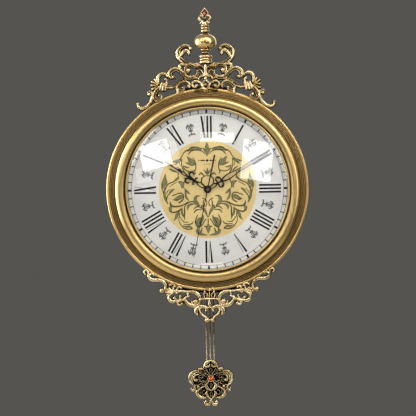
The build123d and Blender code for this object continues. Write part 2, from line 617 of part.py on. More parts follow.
def finial_ball():
    """Squat hollow ball of the finial."""
    section = Plane(origin=(0, -FINIAL_D, DIAL_Z), x_dir=(1, 0, 0), z_dir=(0, -1, 0))
    half = make_face([
        Line((ROD_HOLE_R, 242.4), (9.0, 242.4)),
        Spline((9.0, 242.4), (15.6, 244.8), (19.0, 249.6), (19.25, 255.0), (17.4, 260.4), (12.6, 264.8),
               (5.0, 268.0)),
        Line((5.0, 268.0), (ROD_HOLE_R, 268.0)),
        Line((ROD_HOLE_R, 268.0), (ROD_HOLE_R, 242.4)),
    ])
    cavity = make_face(Polyline((4.0, 245), (13.6, 246.8), (16.8, 251), (16.8, 255), (14.6, 259.6),
                                (10.6, 262.6), (4.0, 265.4), close=True))
    axis = Axis((0, -FINIAL_D, 0), (0, 0, 1))
    return revolve(section * (half - cavity), axis)


def finial_collar():
    """Three turned rings above the ball."""
    section = [(ROD_HOLE_R, 268), (6.2, 268), (4.4, 270.4), (6.8, 272.2), (6.8, 274.4), (4.2, 276.2),
               (6.2, 277.6), (6.2, 279.8), (4.0, 281.4), (5.5, 282.6), (5.5, 284.4), (4.6, 285.2),
               (ROD_HOLE_R, 285.2)]
    return upright(section)


def finial_rod():
    """Threaded rod through the whole finial, with a thinner end in the topper."""
    return upright([(0, 203.4), (2.0, 203.4), (2.0, 285.2), (1.15, 285.2), (1.15, 290.4), (0, 290.4)])


# ---------------------------------------------------------------- hands
def pointed(shape, angle):
    """Turns a hand drawn at twelve to its place, clockwise from twelve."""
    return Rot(0, 0, -angle) * shape


def hour_hand():
    half = [
        strip([(0, 5), (3.1, 12), (2.8, 17), (0, 22.5)], [2.6, 1.7, 1.7, 3]),
        strip([(0, 24), (3.4, 27.6), (6.4, 25.8)], [4, 2.6, 2.8]),
        strip([(0, 30), (1.8, 36), (4.6, 40.6), (8.6, 40.2), (10.2, 36.4), (8, 33.6)],
              [4, 3, 2.6, 2.8, 2.8, 2.6]),
        strip([(5, 41), (6.4, 44.6)], [2.4, 1.4]),
        strip([(0, 42), (1.9, 47.4), (1.8, 50.6), (0, 55)], [2.6, 1.4, 1.4, 2.8]),
    ]
    stem = make_face(Polyline((-1.9, 21), (-2.2, 38), (-1.3, 44), (1.3, 44), (2.2, 38), (1.9, 21),
                              close=True))
    spear = make_face(Polyline((-1.2, 53), (-1.7, 58), (-0.9, 88), (0, 90), (0.9, 88), (1.7, 58),
                               (1.2, 53), close=True))
    shape = joined(mirrored(half) + [stem, spear, Circle(6.4)]) - Circle(2.5)
    return slab(pointed(shape, HOUR_ANGLE), 33.5, 34.0)


def minute_hand():
    half = [
        strip([(0, 4), (2.9, 9.5), (2.7, 14), (0, 19)], [2.6, 1.7, 1.7, 3]),
        strip([(0, 20), (3.4, 20.6), (7.4, 20.8), (9.6, 24.4), (7.4, 28), (3.4, 28.4), (0, 29)],
              [3, 2.4, 2.4, 2.4, 2.4, 2.6, 3]),
        strip([(9, 24.6), (6.4, 25.6)], [2, 1.8]),
        strip([(0, 28), (2.7, 33), (2.6, 60), (2.2, 90), (0.9, 120)], [3, 1.7, 1.6, 1.5, 1.4]),
    ]
    stem = make_face(Polyline((-1.3, 18), (-1.3, 30), (1.3, 30), (1.3, 18), close=True))
    tip = make_face(Polyline((-1.5, 117), (0, 122), (1.5, 117), close=True))
    shape = joined(mirrored(half) + [stem, tip, Circle(6.2)]) - Circle(1.6)
    return slab(pointed(shape, MINUTE_ANGLE), 35.0, 35.4)


def second_hand():
    needle = make_face(Polyline((-0.8, 4), (-0.5, 120), (0.5, 120), (0.8, 4), close=True))
    tail = make_face(Polyline((-0.9, -4), (-1.5, -60.5), (1.5, -60.5), (0.9, -4), close=True))
    shape = joined([needle, tail, Circle(6.6)]) - Circle(0.5)
    return slab(pointed(shape, SECOND_ANGLE), 36.5, 36.9)


# ---------------------------------------------------------------- movement
def gear(teeth, centre_r, at, tooth_at, d0, d1):
    """Spur gear with straight-sided teeth; tooth_at is the angle of one tooth in degrees."""
    pitch = 360.0 / teeth
    module = 2 * centre_r / teeth
    tip_r = centre_r + 0.75 * module
    root_r = centre_r - 1.15 * module
    points = []
    for i in range(teeth):
        middle = tooth_at + i * pitch
        for r, share in ((root_r, -0.27), (tip_r, -0.11), (tip_r, 0.11), (root_r, 0.27)):
            points.append(on_circle(r, middle + share * pitch))
    outline = make_face(Polyline(*points, close=True))
    return slab(Pos(at[0], at[1]) * outline, d0, d1)


def spokes(r_out, r_in, at, d0, d1):
    """Four round windows that lighten a wheel."""
    cut = None
    for k in range(4):
        x, z = on_circle((r_out + r_in) / 2, 45 + 90 * k)
        hole = disc((at[0] + x, at[1] + z), (r_out - r_in) / 2, d0, d1)
        cut = hole if cut is None else cut + hole
    return cut


def pitch_radius(distance, teeth, mate):
    """Pitch radius of a gear from its centre distance to the gear it meshes with."""
    return distance * teeth / (teeth + mate)


def rotor():
    pinion_r = pitch_radius(CENTRE_DIST_ROTOR, 12, 60)
    body = gear(12, pinion_r, ROTOR_AT, ROTOR_ANGLE + 180.0, 12.8, 14.2)
    body += disc(ROTOR_AT, 3.0, 14.2, 17.2)
    return body + disc(ROTOR_AT, FINE_ARBOR_R, ARBOR_BACK_D, 19.0)


def fifth_wheel():
    wheel_r = pitch_radius(CENTRE_DIST_ROTOR, 60, 12)
    pinion_r = pitch_radius(CENTRE_DIST_FIFTH, 10, 60)
    body = gear(60, wheel_r, FIFTH_AT, ROTOR_ANGLE + 3.0, 12.9, 13.6)
    body += gear(10, pinion_r, FIFTH_AT, 18.0, 13.6, 15.9)
    return body + disc(FIFTH_AT, FINE_ARBOR_R, ARBOR_BACK_D, 19.0)


def fourth_wheel():
    """Seconds wheel on the long arbor that carries the second hand."""
    wheel_r = pitch_radius(CENTRE_DIST_FIFTH, 60, 10)
    pinion_r = pitch_radius(CENTRE_DIST_THIRD, 8, 60)
    body = gear(60, wheel_r, (0, 0), 180.0, 14.6, 15.4)
    body += gear(8, pinion_r, (0, 0), 0.0, 15.4, 18.3)
    return body + disc((0, 0), ARBOR_R, ARBOR_BACK_D, 37.4)


def third_wheel():
    wheel_r = pitch_radius(CENTRE_DIST_THIRD, 60, 8)
    pinion_r = pitch_radius(CENTRE_DIST_THIRD, 8, 64)
    body = gear(60, wheel_r, THIRD_AT, 180.0 + 3.0, 17.1, 17.9)
    body += gear(8, pinion_r, THIRD_AT, 180.0 + 22.5, 19.6, 21.6)
    body += disc(THIRD_AT, 0.6, 17.1, 21.6)
    return body + disc(THIRD_AT, ARBOR_R, ARBOR_BACK_D, 23.4)


def centre_wheel():
    """Centre wheel and cannon pinion on the tube that carries the minute hand."""
    wheel_r = pitch_radius(CENTRE_DIST_THIRD, 64, 8)
    cannon_r = CENTRE_DIST_MINUTE / 4
    body = gear(64, wheel_r, (0, 0), 0.0, 20.2, 21.2)
    body += gear(12, cannon_r, (0, 0), 270.0, 21.2, 23.5)
    body += disc((0, 0), TUBE_R, 20.0, 35.6)
    body -= spokes(7.6, 3.6, (0, 0), 20.0, 21.4)
    return body - disc((0, 0), ARBOR_R + RUNNING, 19.9, 35.7)


def minute_wheel():
    wheel_r = CENTRE_DIST_MINUTE * 3 / 4
    pinion_r = CENTRE_DIST_MINUTE / 5
    body = gear(36, wheel_r, MINUTE_AT, 95.0, 22.2, 23.2)
    body += gear(10, pinion_r, MINUTE_AT, 90.0, 23.2, 26.6)
    return body - disc(MINUTE_AT, POST_R + RUNNING, 22.0, 26.8)


def hour_wheel():
    wheel_r = CENTRE_DIST_MINUTE * 4 / 5
    body = gear(40, wheel_r, (0, 0), 270.0 + 4.5, 25.0, 26.4)
    body += disc((0, 0), HOUR_TUBE_R, 25.0, 34.1)
    return body - disc((0, 0), TUBE_R + RUNNING, 24.9, 34.2)


def setting_shaft():
    """Hand-setting knob behind the movement, on a shaft that drives the minute wheel."""
    pinion_r = CENTRE_DIST_MINUTE / 4
    body = gear(12, pinion_r, SETTING_AT, 90.0, 21.8, 23.6)
    body += disc(SETTING_AT, SETTING_R, 11.0, 25.6)
    body += gear(24, 4.6, SETTING_AT, 0.0, 7.8, 11.1)
    return body


def movement_case():
    """Front half of the movement: wall towards the dial, sides, battery tray and wheel posts."""
    body = box(-MOV_HALF_W, MOV_HALF_W, MOV_BOTTOM, MOV_TOP, COVER_D, MOV_FRONT_D)
    body -= box(-MOV_HALF_W + WALL, MOV_HALF_W - WALL, MOV_BOTTOM + WALL, 13.0, COVER_D, MOV_WALL_D)
    body -= box(-26.7, 26.7, 14.3, MOV_TOP - WALL, COVER_D, MOV_WALL_D)
    body -= disc((0, 0), 3.87, MOV_WALL_D, MOV_FRONT_D)
    for x in (-22.0, 22.0):
        for z in (10.0, -19.0):
            body += disc((x, z), 1.8, PLATE_HI_D, MOV_WALL_D)
    body += ring(1.6, ARBOR_R + RUNNING, 22.2, MOV_WALL_D, THIRD_AT)
    body += disc(MINUTE_AT, POST_R, 21.9, MOV_WALL_D)
    body += ring(2.6, SETTING_R + RUNNING, 24.2, MOV_WALL_D, SETTING_AT)
    for at in COVER_SCREWS:
        body += ring(2.4, 0.9, COVER_D, MOV_WALL_D, at)
    return body


def movement_cover():
    """Rear cover with wheel bearings and the boss of the pendulum pivot."""
    body = box(-MOV_HALF_W, MOV_HALF_W, MOV_BOTTOM, 13.0, MOV_BACK_D, COVER_D)
    body += disc((0, PIVOT_Z), 3.2, 8.4, MOV_BACK_D)
    body -= disc((0, PIVOT_Z), PIVOT_R + 0.02, 8.4, COVER_D)
    body -= disc(SETTING_AT, SETTING_R + RUNNING, MOV_BACK_D, COVER_D)
    for at in ((0, 0), THIRD_AT):
        body -= disc(at, ARBOR_R + RUNNING, MOV_BACK_D + 0.2, COVER_D)
    for at in (FIFTH_AT, ROTOR_AT):
        body -= disc(at, FINE_ARBOR_R + RUNNING, MOV_BACK_D + 0.2, COVER_D)
    for at in COVER_SCREWS:
        body -= disc(at, 1.3, MOV_BACK_D, COVER_D)
    return body


def middle_plate():
    body = box(-24.5, 24.5, -21.5, 12.6, PLATE_LO_D, PLATE_HI_D)
    for at in ((0, 0), THIRD_AT):
        body -= disc(at, 0.8, PLATE_LO_D, PLATE_HI_D)
    for at in (FIFTH_AT, ROTOR_AT):
        body -= disc(at, FINE_ARBOR_R + RUNNING, PLATE_LO_D, PLATE_HI_D)
    body -= disc(SETTING_AT, SETTING_R + RUNNING, PLATE_LO_D, PLATE_HI_D)
    for at in COVER_SCREWS:
        body -= disc(at, 2.6, PLATE_LO_D, PLATE_HI_D)
    return body


def stator():
    """Flat soft-iron stator with the rotor's hole and the coil's core."""
    flat = Pos(-17.9, -2.45) * Rectangle(16.2, 10.1)
    flat -= Pos(ROTOR_AT[0], ROTOR_AT[1]) * Circle(3.5)
    flat += Pos(-24.5, -10.5) * Rectangle(3.0, 6.4)
    flat += Pos(-11.3, -10.5) * Rectangle(3.0, 6.4)
    flat += Pos(-17.9, -12.7) * Rectangle(16.2, 2.0)
    return slab(flat, 15.2, 16.4)


def cylinder_x(x0, x1, z, d, r):
    """A cylinder along X between two x, at dial height z and depth d."""
    plane = Plane(origin=(x0, -d, DIAL_Z + z), z_dir=(1, 0, 0))
    return extrude(plane * Circle(r), amount=x1 - x0)


def motor_coil():
    core = box(-22.9, -12.9, -13.75, -11.65, 15.1, 16.5)
    body = cylinder_x(-22.8, -13.0, -12.7, 15.8, 2.5)
    return body - core


def battery():
    body = cylinder_x(-BATTERY_L / 2, BATTERY_L / 2 - 1.5, BATTERY_Z, BATTERY_D, BATTERY_R)
    return body + cylinder_x(BATTERY_L / 2 - 1.5, BATTERY_L / 2, BATTERY_Z, BATTERY_D, 2.7)


def battery_contacts():
    """Flat positive contact and a coned spring shown by its closed stack of turns."""
    plus = box(25.4, 26.6, 16.5, 27.5, 14.0, 25.0)
    minus = cylinder_x(-26.6, -26.0, BATTERY_Z, BATTERY_D, 5.0)
    minus += cylinder_x(-26.0, -25.4, BATTERY_Z, BATTERY_D, 3.4)
    return group([plus, minus])


def circuit_board():
    board = box(-25.0, 25.0, -83.0, -24.0, 17.8, 19.0)
    for at in COVER_SCREWS:
        board -= disc(at, 2.8, 17.8, 19.0)
    return board


def board_parts():
    """Chip under its blob, quartz crystal can and a capacitor, on the circuit board."""
    chip = disc((-12, -36), 4.0, 19.0, 20.4)
    crystal = box(6, 14, -38, -35, 19.0, 22.0)
    capacitor = disc((16, -52), 3.0, 19.0, 25.0)
    return group([chip, crystal, capacitor])


def movement_bush():
    """Threaded brass bush that clamps the movement to the dial."""
    body = disc((0, 0), 5.2, 26.8, MOV_WALL_D)
    body += disc((0, 0), BUSH_R, MOV_WALL_D, 33.2)
    return body - disc((0, 0), HOUR_TUBE_R + RUNNING, 26.8, 33.2)


def bush_nut():
    """Thin hexagonal nut on the bush."""
    return slab(RegularPolygon(6.2, 6), 31.2, 33.0) - disc((0, 0), BUSH_R + 0.01, 31.2, 33.0)


# ---------------------------------------------------------------- pendulum
def pivot_pin():
    return disc((0, PIVOT_Z), PIVOT_R, 4.0, 12.8) + disc((0, PIVOT_Z), 2.2, 3.0, 4.0)


def swing_arm():
    """Plastic arm that hangs on the pivot pin and carries the drive magnet and the peg."""
    middle = (PIVOT_Z + PEG_Z) / 2
    outline = Pos(0, middle) * Rectangle(7.0, PIVOT_Z - PEG_Z)
    outline += ball(0, PIVOT_Z, 5.0)
    outline += ball(0, MAGNET_Z, 5.8)
    outline += ball(0, PEG_Z, 3.8)
    body = slab(outline, 5.0, 8.0)
    body += disc((0, PEG_Z), 1.5, 8.0, 10.4)
    return body - disc((0, PIVOT_Z), PIVOT_R + RUNNING, 5.0, 8.0)


def pendulum_hanger():
    """Brass hanger: an eye over the arm's peg and a bar that holds the three rods."""
    eye = ball(0, PEG_Z, 3.4)
    eye += Pos(0, (PEG_Z - 91.0) / 2) * Rectangle(4.4, 91.0 + PEG_Z)
    body = slab(eye, 8.4, 10.0)
    body -= disc((0, PEG_Z), 1.56, 8.4, 10.0)
    body += box(-10, 10, -98.0, -91.0, 6.6, 11.8)
    return body - rods(ROD_R + 0.02, ROD_TOP, -99.0)


def rods(r, top, bottom):
    """Three parallel pendulum rods, side by side."""
    solids = None
    for k in (-1, 0, 1):
        plane = Plane(origin=(k * ROD_PITCH, -ROD_D, DIAL_Z + bottom), z_dir=(0, 0, 1))
        rod = extrude(plane * Circle(r), amount=top - bottom)
        solids = rod if solids is None else solids + rod
    return solids


def rod_clamp():
    """Bar behind the bob that holds the rods' lower ends."""
    return box(-10, 10, -311.0, -301.5, 6.6, BOB_BACK_D) - rods(ROD_R + 0.02, -300.0, ROD_END)


def gem_setting():
    return ring(6.0, 4.5, BOB_FRONT_D, BOB_FRONT_D + 1.8, (0, GEM_Z))


def bob_gem():
    """Round domed stone."""
    base = BOB_FRONT_D
    girdle = base + 1.2
    rise = 2.7
    outline = [
        Line((0, base), (GEM_R, base)),
        Line((GEM_R, base), (GEM_R, girdle)),
        ThreePointArc((GEM_R, girdle), (GEM_R / 2, girdle + dome_rise(GEM_R, rise)), (0, girdle + rise)),
        Line((0, girdle + rise), (0, base)),
    ]
    return turned(make_face(outline), (0.0, GEM_Z))


# ---------------------------------------------------------------- places of the fasteners
CASE_SCREW_ANGLES = [0, 60, 120, 180, 240, 300]
CASE_SCREWS = [on_circle(SCREW_R, a) for a in CASE_SCREW_ANGLES]
LUG_Z = math.sqrt(SCREW_R**2 - LUG_X**2)
TOP_LUGS = [(-LUG_X, LUG_Z), (LUG_X, LUG_Z)]
BOTTOM_LUGS = [(-LUG_X, -LUG_Z), (LUG_X, -LUG_Z)]
HANGER_SCREWS = [(x, HOOK_ABOVE_DIAL + HANGER_ABOVE) for x in (-HANGER_SCREW_X, HANGER_SCREW_X)]
COVER_SCREWS = [(x, z) for x in (-24.0, 24.0) for z in (-28.0, -81.5)]
PAD_PLACES = [on_circle(PAD_CIRCLE_R, a) for a in (45, 135, 225, 315)]


def build_nodes():
    keep("bezel", bezel())
    keep("rear_housing", rear_housing())
    keep("housing_back_ring", housing_back_ring())
    keep("case_brackets", group([case_bracket(angle) for angle in CASE_SCREW_ANGLES]))
    keep("glass_dome", glass_dome())
    keep("glass_gasket", ring(GLASS_EDGE_R, 139.3, 35.8, GLASS_BACK_D))
    keep("dial_spacer_ring", ring(GLASS_EDGE_R, DIAL_OPEN_R, DIAL_FRONT_D, 35.8))
    keep("dial_plate", ring(DIAL_R, DIAL_HOLE_R, DIAL_BACK_D, DIAL_FRONT_D))
    keep("dial_centre_disc", ring(DISC_R, DIAL_HOLE_R, DIAL_FRONT_D, DISC_FRONT_D))
    keep("case_screws", group([case_screw(at) for at in CASE_SCREWS]))
    keep("hanger_plate", hanger_plate())
    keep("hanger_screws", group([hanger_screw(at) for at in HANGER_SCREWS]))
    keep("wall_pads", group([disc(at, PAD_R, 0, PLATE_D) for at in PAD_PLACES]))
    keep("top_crest", top_crest())
    keep("bottom_crest", bottom_crest())
    keep("crest_screws", group([case_screw(at) for at in TOP_LUGS + BOTTOM_LUGS]))
    keep("finial_plinth", finial_plinth())
    keep("finial_neck", finial_neck())
    keep("finial_ball", finial_ball())
    keep("finial_collar", finial_collar())
    keep("finial_rod", finial_rod())
    keep("finial_topper", finial_topper())
    keep("finial_gem", diamond(0, 303.2, 3.5, 4.2, FINIAL_D + 2.2, 2.2))
    keep("hour_hand", hour_hand())
    keep("minute_hand", minute_hand())
    keep("second_hand", second_hand())
    keep("minute_hand_nut", ring(2.9, ARBOR_R + RUNNING, 35.6, 36.2))
    cap = disc((0, 0), 3.0, 36.9, 38.4) - box(-3.0, 3.0, -0.4, 0.4, 37.8, 38.4)
    keep("second_hand_cap", cap - disc((0, 0), ARBOR_R, 36.9, 37.4))
    keep("movement_case", movement_case())
    keep("movement_cover", movement_cover())
    keep("cover_screws", group([screw(at, MOV_BACK_D - 1.6, 2.2, 18.0, 0.88) for at in COVER_SCREWS]))
    keep("movement_bush", movement_bush())
    keep("bush_washer", ring(7.0, BUSH_R + 0.05, DISC_FRONT_D, 31.2))
    keep("bush_nut", bush_nut())
    keep("dial_cushion", ring(9.0, 4.0, MOV_FRONT_D, DIAL_BACK_D))
    keep("middle_plate", middle_plate())
    keep("circuit_board", circuit_board())
    keep("board_parts", board_parts())
    keep("motor_coil", motor_coil())
    keep("stator", stator())
    keep("rotor", rotor())
    keep("fifth_wheel", fifth_wheel())
    keep("fourth_wheel", fourth_wheel())
    keep("third_wheel", third_wheel())
    keep("centre_wheel", centre_wheel())
    keep("minute_wheel", minute_wheel())
    keep("hour_wheel", hour_wheel())
    keep("setting_shaft", setting_shaft())
    keep("battery", battery())
    keep("battery_contacts", battery_contacts())
    keep("pendulum_coil", ring(DRIVE_COIL_R, 3.0, 13.4, 17.8, (0, MAGNET_Z)))
    keep("pivot_pin", pivot_pin())
    keep("swing_arm", swing_arm())
    keep("swing_magnet", disc((0, MAGNET_Z), 5.0, 8.0, 10.6))
    keep("pendulum_hanger", pendulum_hanger())
    keep("pendulum_rods", rods(ROD_R, ROD_TOP, ROD_END))
    keep("rod_clamp", rod_clamp())
    keep("pendulum_bob", pendulum_bob())
    keep("gem_setting", gem_setting())
    keep("bob_gem", bob_gem())


build_nodes()
os.makedirs("parts", exist_ok=True)
for name, shape in NODES.items():
    export_step(shape, f"parts/{name}.step")
    print(name, len(shape.solids()), round(shape.volume, 1))
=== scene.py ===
import bmesh
import bpy
import json
import math
import random
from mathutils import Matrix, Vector


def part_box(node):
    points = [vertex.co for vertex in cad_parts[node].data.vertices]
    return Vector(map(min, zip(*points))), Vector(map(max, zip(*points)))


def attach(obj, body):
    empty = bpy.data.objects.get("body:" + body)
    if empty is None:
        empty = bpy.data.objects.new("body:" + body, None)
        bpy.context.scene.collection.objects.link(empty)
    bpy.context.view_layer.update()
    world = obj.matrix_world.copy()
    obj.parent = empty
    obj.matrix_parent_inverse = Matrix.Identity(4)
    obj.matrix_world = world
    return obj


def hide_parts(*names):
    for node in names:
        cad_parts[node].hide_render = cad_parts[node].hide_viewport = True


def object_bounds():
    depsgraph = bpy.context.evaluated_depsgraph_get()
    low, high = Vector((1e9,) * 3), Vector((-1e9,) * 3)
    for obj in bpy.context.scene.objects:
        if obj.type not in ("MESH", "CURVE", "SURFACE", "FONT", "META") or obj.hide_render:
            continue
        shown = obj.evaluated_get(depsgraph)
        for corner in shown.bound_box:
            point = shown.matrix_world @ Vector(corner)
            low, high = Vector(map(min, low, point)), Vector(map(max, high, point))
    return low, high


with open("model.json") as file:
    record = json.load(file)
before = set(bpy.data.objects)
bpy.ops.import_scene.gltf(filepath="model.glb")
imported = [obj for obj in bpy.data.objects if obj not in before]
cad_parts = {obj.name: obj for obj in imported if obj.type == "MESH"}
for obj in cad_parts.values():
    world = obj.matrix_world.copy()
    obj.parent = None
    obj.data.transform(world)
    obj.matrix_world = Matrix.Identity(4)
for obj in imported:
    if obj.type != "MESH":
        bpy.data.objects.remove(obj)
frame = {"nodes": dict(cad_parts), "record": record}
CAD_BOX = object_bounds()
RECORD = frame["record"]

MM = 0.001
dial_lo, dial_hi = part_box("dial_plate")
DIAL_Z = (dial_lo.z + dial_hi.z) / 2      # the dial's centre in the frame
DIAL_D = -dial_lo.y / MM                  # depths are distances from the wall, in mm


def depths(node):
    """Back and front depth of a node, in mm from the wall."""
    lo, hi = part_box(node)
    return -hi.y / MM, -lo.y / MM


LUG_REACH = 7.5                           # how far a crest's lugs reach behind its casting
LUG_BACK, CREST_FRONT = depths("top_crest")
CREST_BACK = LUG_BACK + LUG_REACH
BOB_BACK, BOB_FRONT = depths("pendulum_bob")
BEZEL_BACK = depths("bezel")[0]
MEDALLION_D = depths("dial_centre_disc")[1]
FINIAL_D = sum(depths("finial_ball")) / 2
SCREW_R = 165.5                           # circle of the bosses and screws behind the bezel
LUG_X = 38.0                              # a crest's screws stand this far from its middle
LUG_HALF_W = 5.0
SHADE_WEB_R = (175.3, 178.6)                    # inner and outer radius of the strip behind a crest
TUCK = 0.03                               # how far a print reaches below the face it lies on
HAIR = 0.02                               # stands for a radius of zero
RNG = random.Random(12)                   # sets the small steps between neighbouring scrolls


# ------------------------------------------------------------------ meshes
def place(x, z, d):
    """Dial coordinates and depth, in mm, to the frame."""
    return (x * MM, -d * MM, DIAL_Z + z * MM)


class Shell:
    """Closed surfaces collected for one piece. Each point's mark runs from 0, blackened as patina and as
    painted shade in recesses and round the scrolls, to 1, rubbed bright.
    """

    def __init__(self):
        self.points = []
        self.faces = []
        self.wear_and_shade = []

    def rows(self, rows, wear_and_shade, loop=False, caps=True):
        """Skins rows of points, each row a closed ring. loop joins the last row to the first."""
        start = len(self.points)
        n = len(rows[0])
        for row, marks in zip(rows, wear_and_shade):
            self.points += row
            self.wear_and_shade += marks
        count = len(rows)
        for i in range(count if loop else count - 1):
            a = start + i * n
            b = start + ((i + 1) % count) * n
            for k in range(n):
                m = (k + 1) % n
                self.faces.append((a + k, a + m, b + m, b + k))
        if caps and not loop:
            self.faces.append(tuple(start + k for k in range(n)))
            self.faces.append(tuple(start + (count - 1) * n + k for k in reversed(range(n))))

    def prism(self, outline, d0, d1, mark=1.0, back_mark=None):
        """A flat outline (x, z) between two depths."""
        n = len(outline)
        start = len(self.points)
        self.points += [(x, z, d0) for x, z in outline] + [(x, z, d1) for x, z in outline]
        self.wear_and_shade += [mark if back_mark is None else back_mark] * n + [mark] * n
        self.faces.append(tuple(start + k for k in range(n)))
        self.faces.append(tuple(start + n + k for k in reversed(range(n))))
        for k in range(n):
            m = (k + 1) % n
            self.faces.append((start + k, start + m, start + n + m, start + n + k))


def make_piece(name, shell, look, body, stands_for=(), crease=38.0):
    """Makes an object from a shell, dresses it in LOOKS[look], hangs it on its body and hides the CAD nodes
    it stands for.
    """
    mesh = bpy.data.meshes.new(name)
    mesh.from_pydata([place(*p) for p in shell.points], [], shell.faces)
    # per-point mark for the brass looks: 0 blackened, as patina and as painted shade in recesses, 1 rubbed
    # bright
    wear_and_shade = mesh.attributes.new("wear_and_shade", "FLOAT", "POINT")
    wear_and_shade.data.foreach_set("value", shell.wear_and_shade)
    work = bmesh.new()
    work.from_mesh(mesh)
    bmesh.ops.remove_doubles(work, verts=work.verts, dist=2e-6)
    bmesh.ops.dissolve_degenerate(work, edges=work.edges, dist=1e-6)
    bmesh.ops.recalc_face_normals(work, faces=work.faces)
    work.to_mesh(mesh)
    work.free()
    mesh.shade_smooth()
    mesh.set_sharp_from_angle(angle=math.radians(crease))
    mesh.materials.append(LOOKS[look])
    piece = bpy.data.objects.new(name, mesh)
    bpy.context.scene.collection.objects.link(piece)
    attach(piece, body)
    if stands_for:
        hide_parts(*stands_for)
    return piece


def smooth_line(points, per_span=6):
    """Points on a smooth line through the given ones."""
    first = [2 * a - b for a, b in zip(points[0], points[1])]
    last = [2 * a - b for a, b in zip(points[-1], points[-2])]
    ends = [first, *points, last]
    line = []
    for a, b, c, d in zip(ends, ends[1:], ends[2:], ends[3:]):
        for k in range(per_span):
            t = k / per_span
            line.append(tuple(
                0.5 * (2 * q + (r - p) * t + (2 * p - 5 * q + 4 * r - s) * t**2
                       + (3 * q - p - 3 * r + s) * t**3)
                for p, q, r, s in zip(a, b, c, d)))
    line.append(tuple(points[-1]))
    return line


def arc(cx, cd, r, start, end, steps):
    """Points of an arc, angles in degrees."""
    angles = [math.radians(start + (end - start) * i / steps) for i in range(steps + 1)]
    return [(cx + r * math.cos(a), cd + r * math.sin(a)) for a in angles]


def width_at(widths, t):
    """Width at the share t of a line's length."""
    along = t * (len(widths) - 1)
    i = min(int(along), len(widths) - 2)
    return widths[i] + (widths[i + 1] - widths[i]) * (along - i)


def polar(r, clock_deg):
    """A point at radius r, angle clockwise from twelve."""
    a = math.radians(clock_deg)
    return (r * math.sin(a), r * math.cos(a))


def sector(shell, radii, angles, steps, d0, d1, back_mark=1.0, front_mark=1.0):
    """Part of a flat ring between two radii and two clock angles."""
    inner, outer = radii
    start, end = angles
    rows = []
    for i in range(steps + 1):
        a = start + (end - start) * i / steps
        near, far = polar(inner, a), polar(outer, a)
        rows.append([(*near, d0), (*near, d1), (*far, d1), (*far, d0)])
    whole = end - start > 359.9
    if whole:
        rows = rows[:-1]
    shell.rows(rows, [[back_mark, front_mark, front_mark, back_mark]] * len(rows), loop=whole)


# A scroll's section: across from -1 to 1, dark skirt outside it, height from 0 to 1, mark from blackened to
# rubbed bright. The skirt is a band of painted shadow round the scroll; low marks blacken its groove and
# sides as patina and painted shade.
DOUBLE = [(-1.0, -1.0, 0.0, 0.5), (-1.0, -1.0, 0.16, 0.0), (-1.0, -0.1, 0.30, 0.0), (-0.99, 0.0, 0.52, 0.25),
          (-0.93, 0.0, 0.74, 0.7), (-0.80, 0.0, 0.90, 1.0), (-0.60, 0.0, 0.99, 1.0), (-0.38, 0.0, 1.0, 1.0),
          (-0.16, 0.0, 0.93, 1.0), (0.04, 0.0, 0.80, 0.8), (0.20, 0.0, 0.68, 0.3), (0.32, 0.0, 0.64, 0.1),
          (0.42, 0.0, 0.70, 0.35), (0.54, 0.0, 0.80, 0.9), (0.68, 0.0, 0.85, 1.0), (0.82, 0.0, 0.80, 1.0),
          (0.93, 0.0, 0.66, 0.7), (0.99, 0.0, 0.50, 0.25), (1.0, 0.1, 0.30, 0.0), (1.0, 1.0, 0.16, 0.0),
          (1.0, 1.0, 0.0, 0.5)]
FLANK = [(-1.0, -1.0, 0.0, 0.5), (-1.0, -1.0, 0.16, 0.0), (-1.0, -0.1, 0.30, 0.0), (-0.98, 0.0, 0.54, 0.30),
         (-0.90, 0.0, 0.72, 0.75), (-0.70, 0.0, 0.88, 1.0), (-0.36, 0.0, 0.98, 1.0)]
SINGLE = FLANK + [(0.0, 0.0, 1.02, 1.0)] + [(-u, -k, v, m) for u, k, v, m in reversed(FLANK)]
FLAT = [(-1.0, 0.0, 0.0, 1.0), (-1.0, 0.0, 1.0, 1.0), (1.0, 0.0, 1.0, 1.0), (1.0, 0.0, 0.0, 1.0)]
DULL = [(u, k, v, 0.62 * m) for u, k, v, m in SINGLE]
END_ANGLES = (80, 62, 42, 20)


def sweep(shell, points, widths, d0, d1, section, shadow_skirt=0.0, mirror=False, per_span=6):
    """Carries a section along a smooth line, with round ends. Its first side is the outer one of a curl."""
    line = smooth_line(points, per_span)
    last = len(line) - 1
    stations = []
    turn = 0.0
    for i, (x, z) in enumerate(line):
        ahead = line[min(i + 1, last)]
        behind = line[max(i - 1, 0)]
        tx, tz = ahead[0] - behind[0], ahead[1] - behind[1]
        turn += (ahead[0] - x) * (z - behind[1]) - (ahead[1] - z) * (x - behind[0])
        size = math.hypot(tx, tz) or 1.0
        stations.append((x, z, tx / size, tz / size, width_at(widths, i / last) / 2))
    outer = -1 if turn > 0 else 1

    def cap(station, sign):
        """Stations of a round end, from its tip inwards, each with its share of the width."""
        return [(*station, math.cos(math.radians(angle)), math.sin(math.radians(angle)) * sign)
                for angle in END_ANGLES]

    whole = cap(stations[0], -1) + [(*station, 1.0, 0.0) for station in stations] + cap(stations[-1], 1)[::-1]
    side = -1 if mirror else 1
    rows = []
    marks = []
    for x, z, tx, tz, half, share, reach in whole:
        rise = 1.0 if section is FLAT else 0.5 + 0.5 * share
        row = []
        for u, k, v, m in section:
            # the skirt widens the section by a blackened band of painted shadow
            across = outer * (u * half + k * shadow_skirt) * share
            along = reach * (half + abs(k) * shadow_skirt)
            row.append((side * (x + tx * along - tz * across), z + tz * along + tx * across,
                        d0 + v * (d1 - d0) * (rise if v > 0.4 else 1.0)))
        rows.append(row)
        marks.append([m for u, k, v, m in section])
    shell.rows(rows, marks)


def both(shell, points, widths, d0, d1, section, shadow_skirt=0.0):
    """A swept scroll and its mirror image."""
    for mirror in (False, True):
        sweep(shell, points, widths, d0, d1, section, shadow_skirt, mirror)


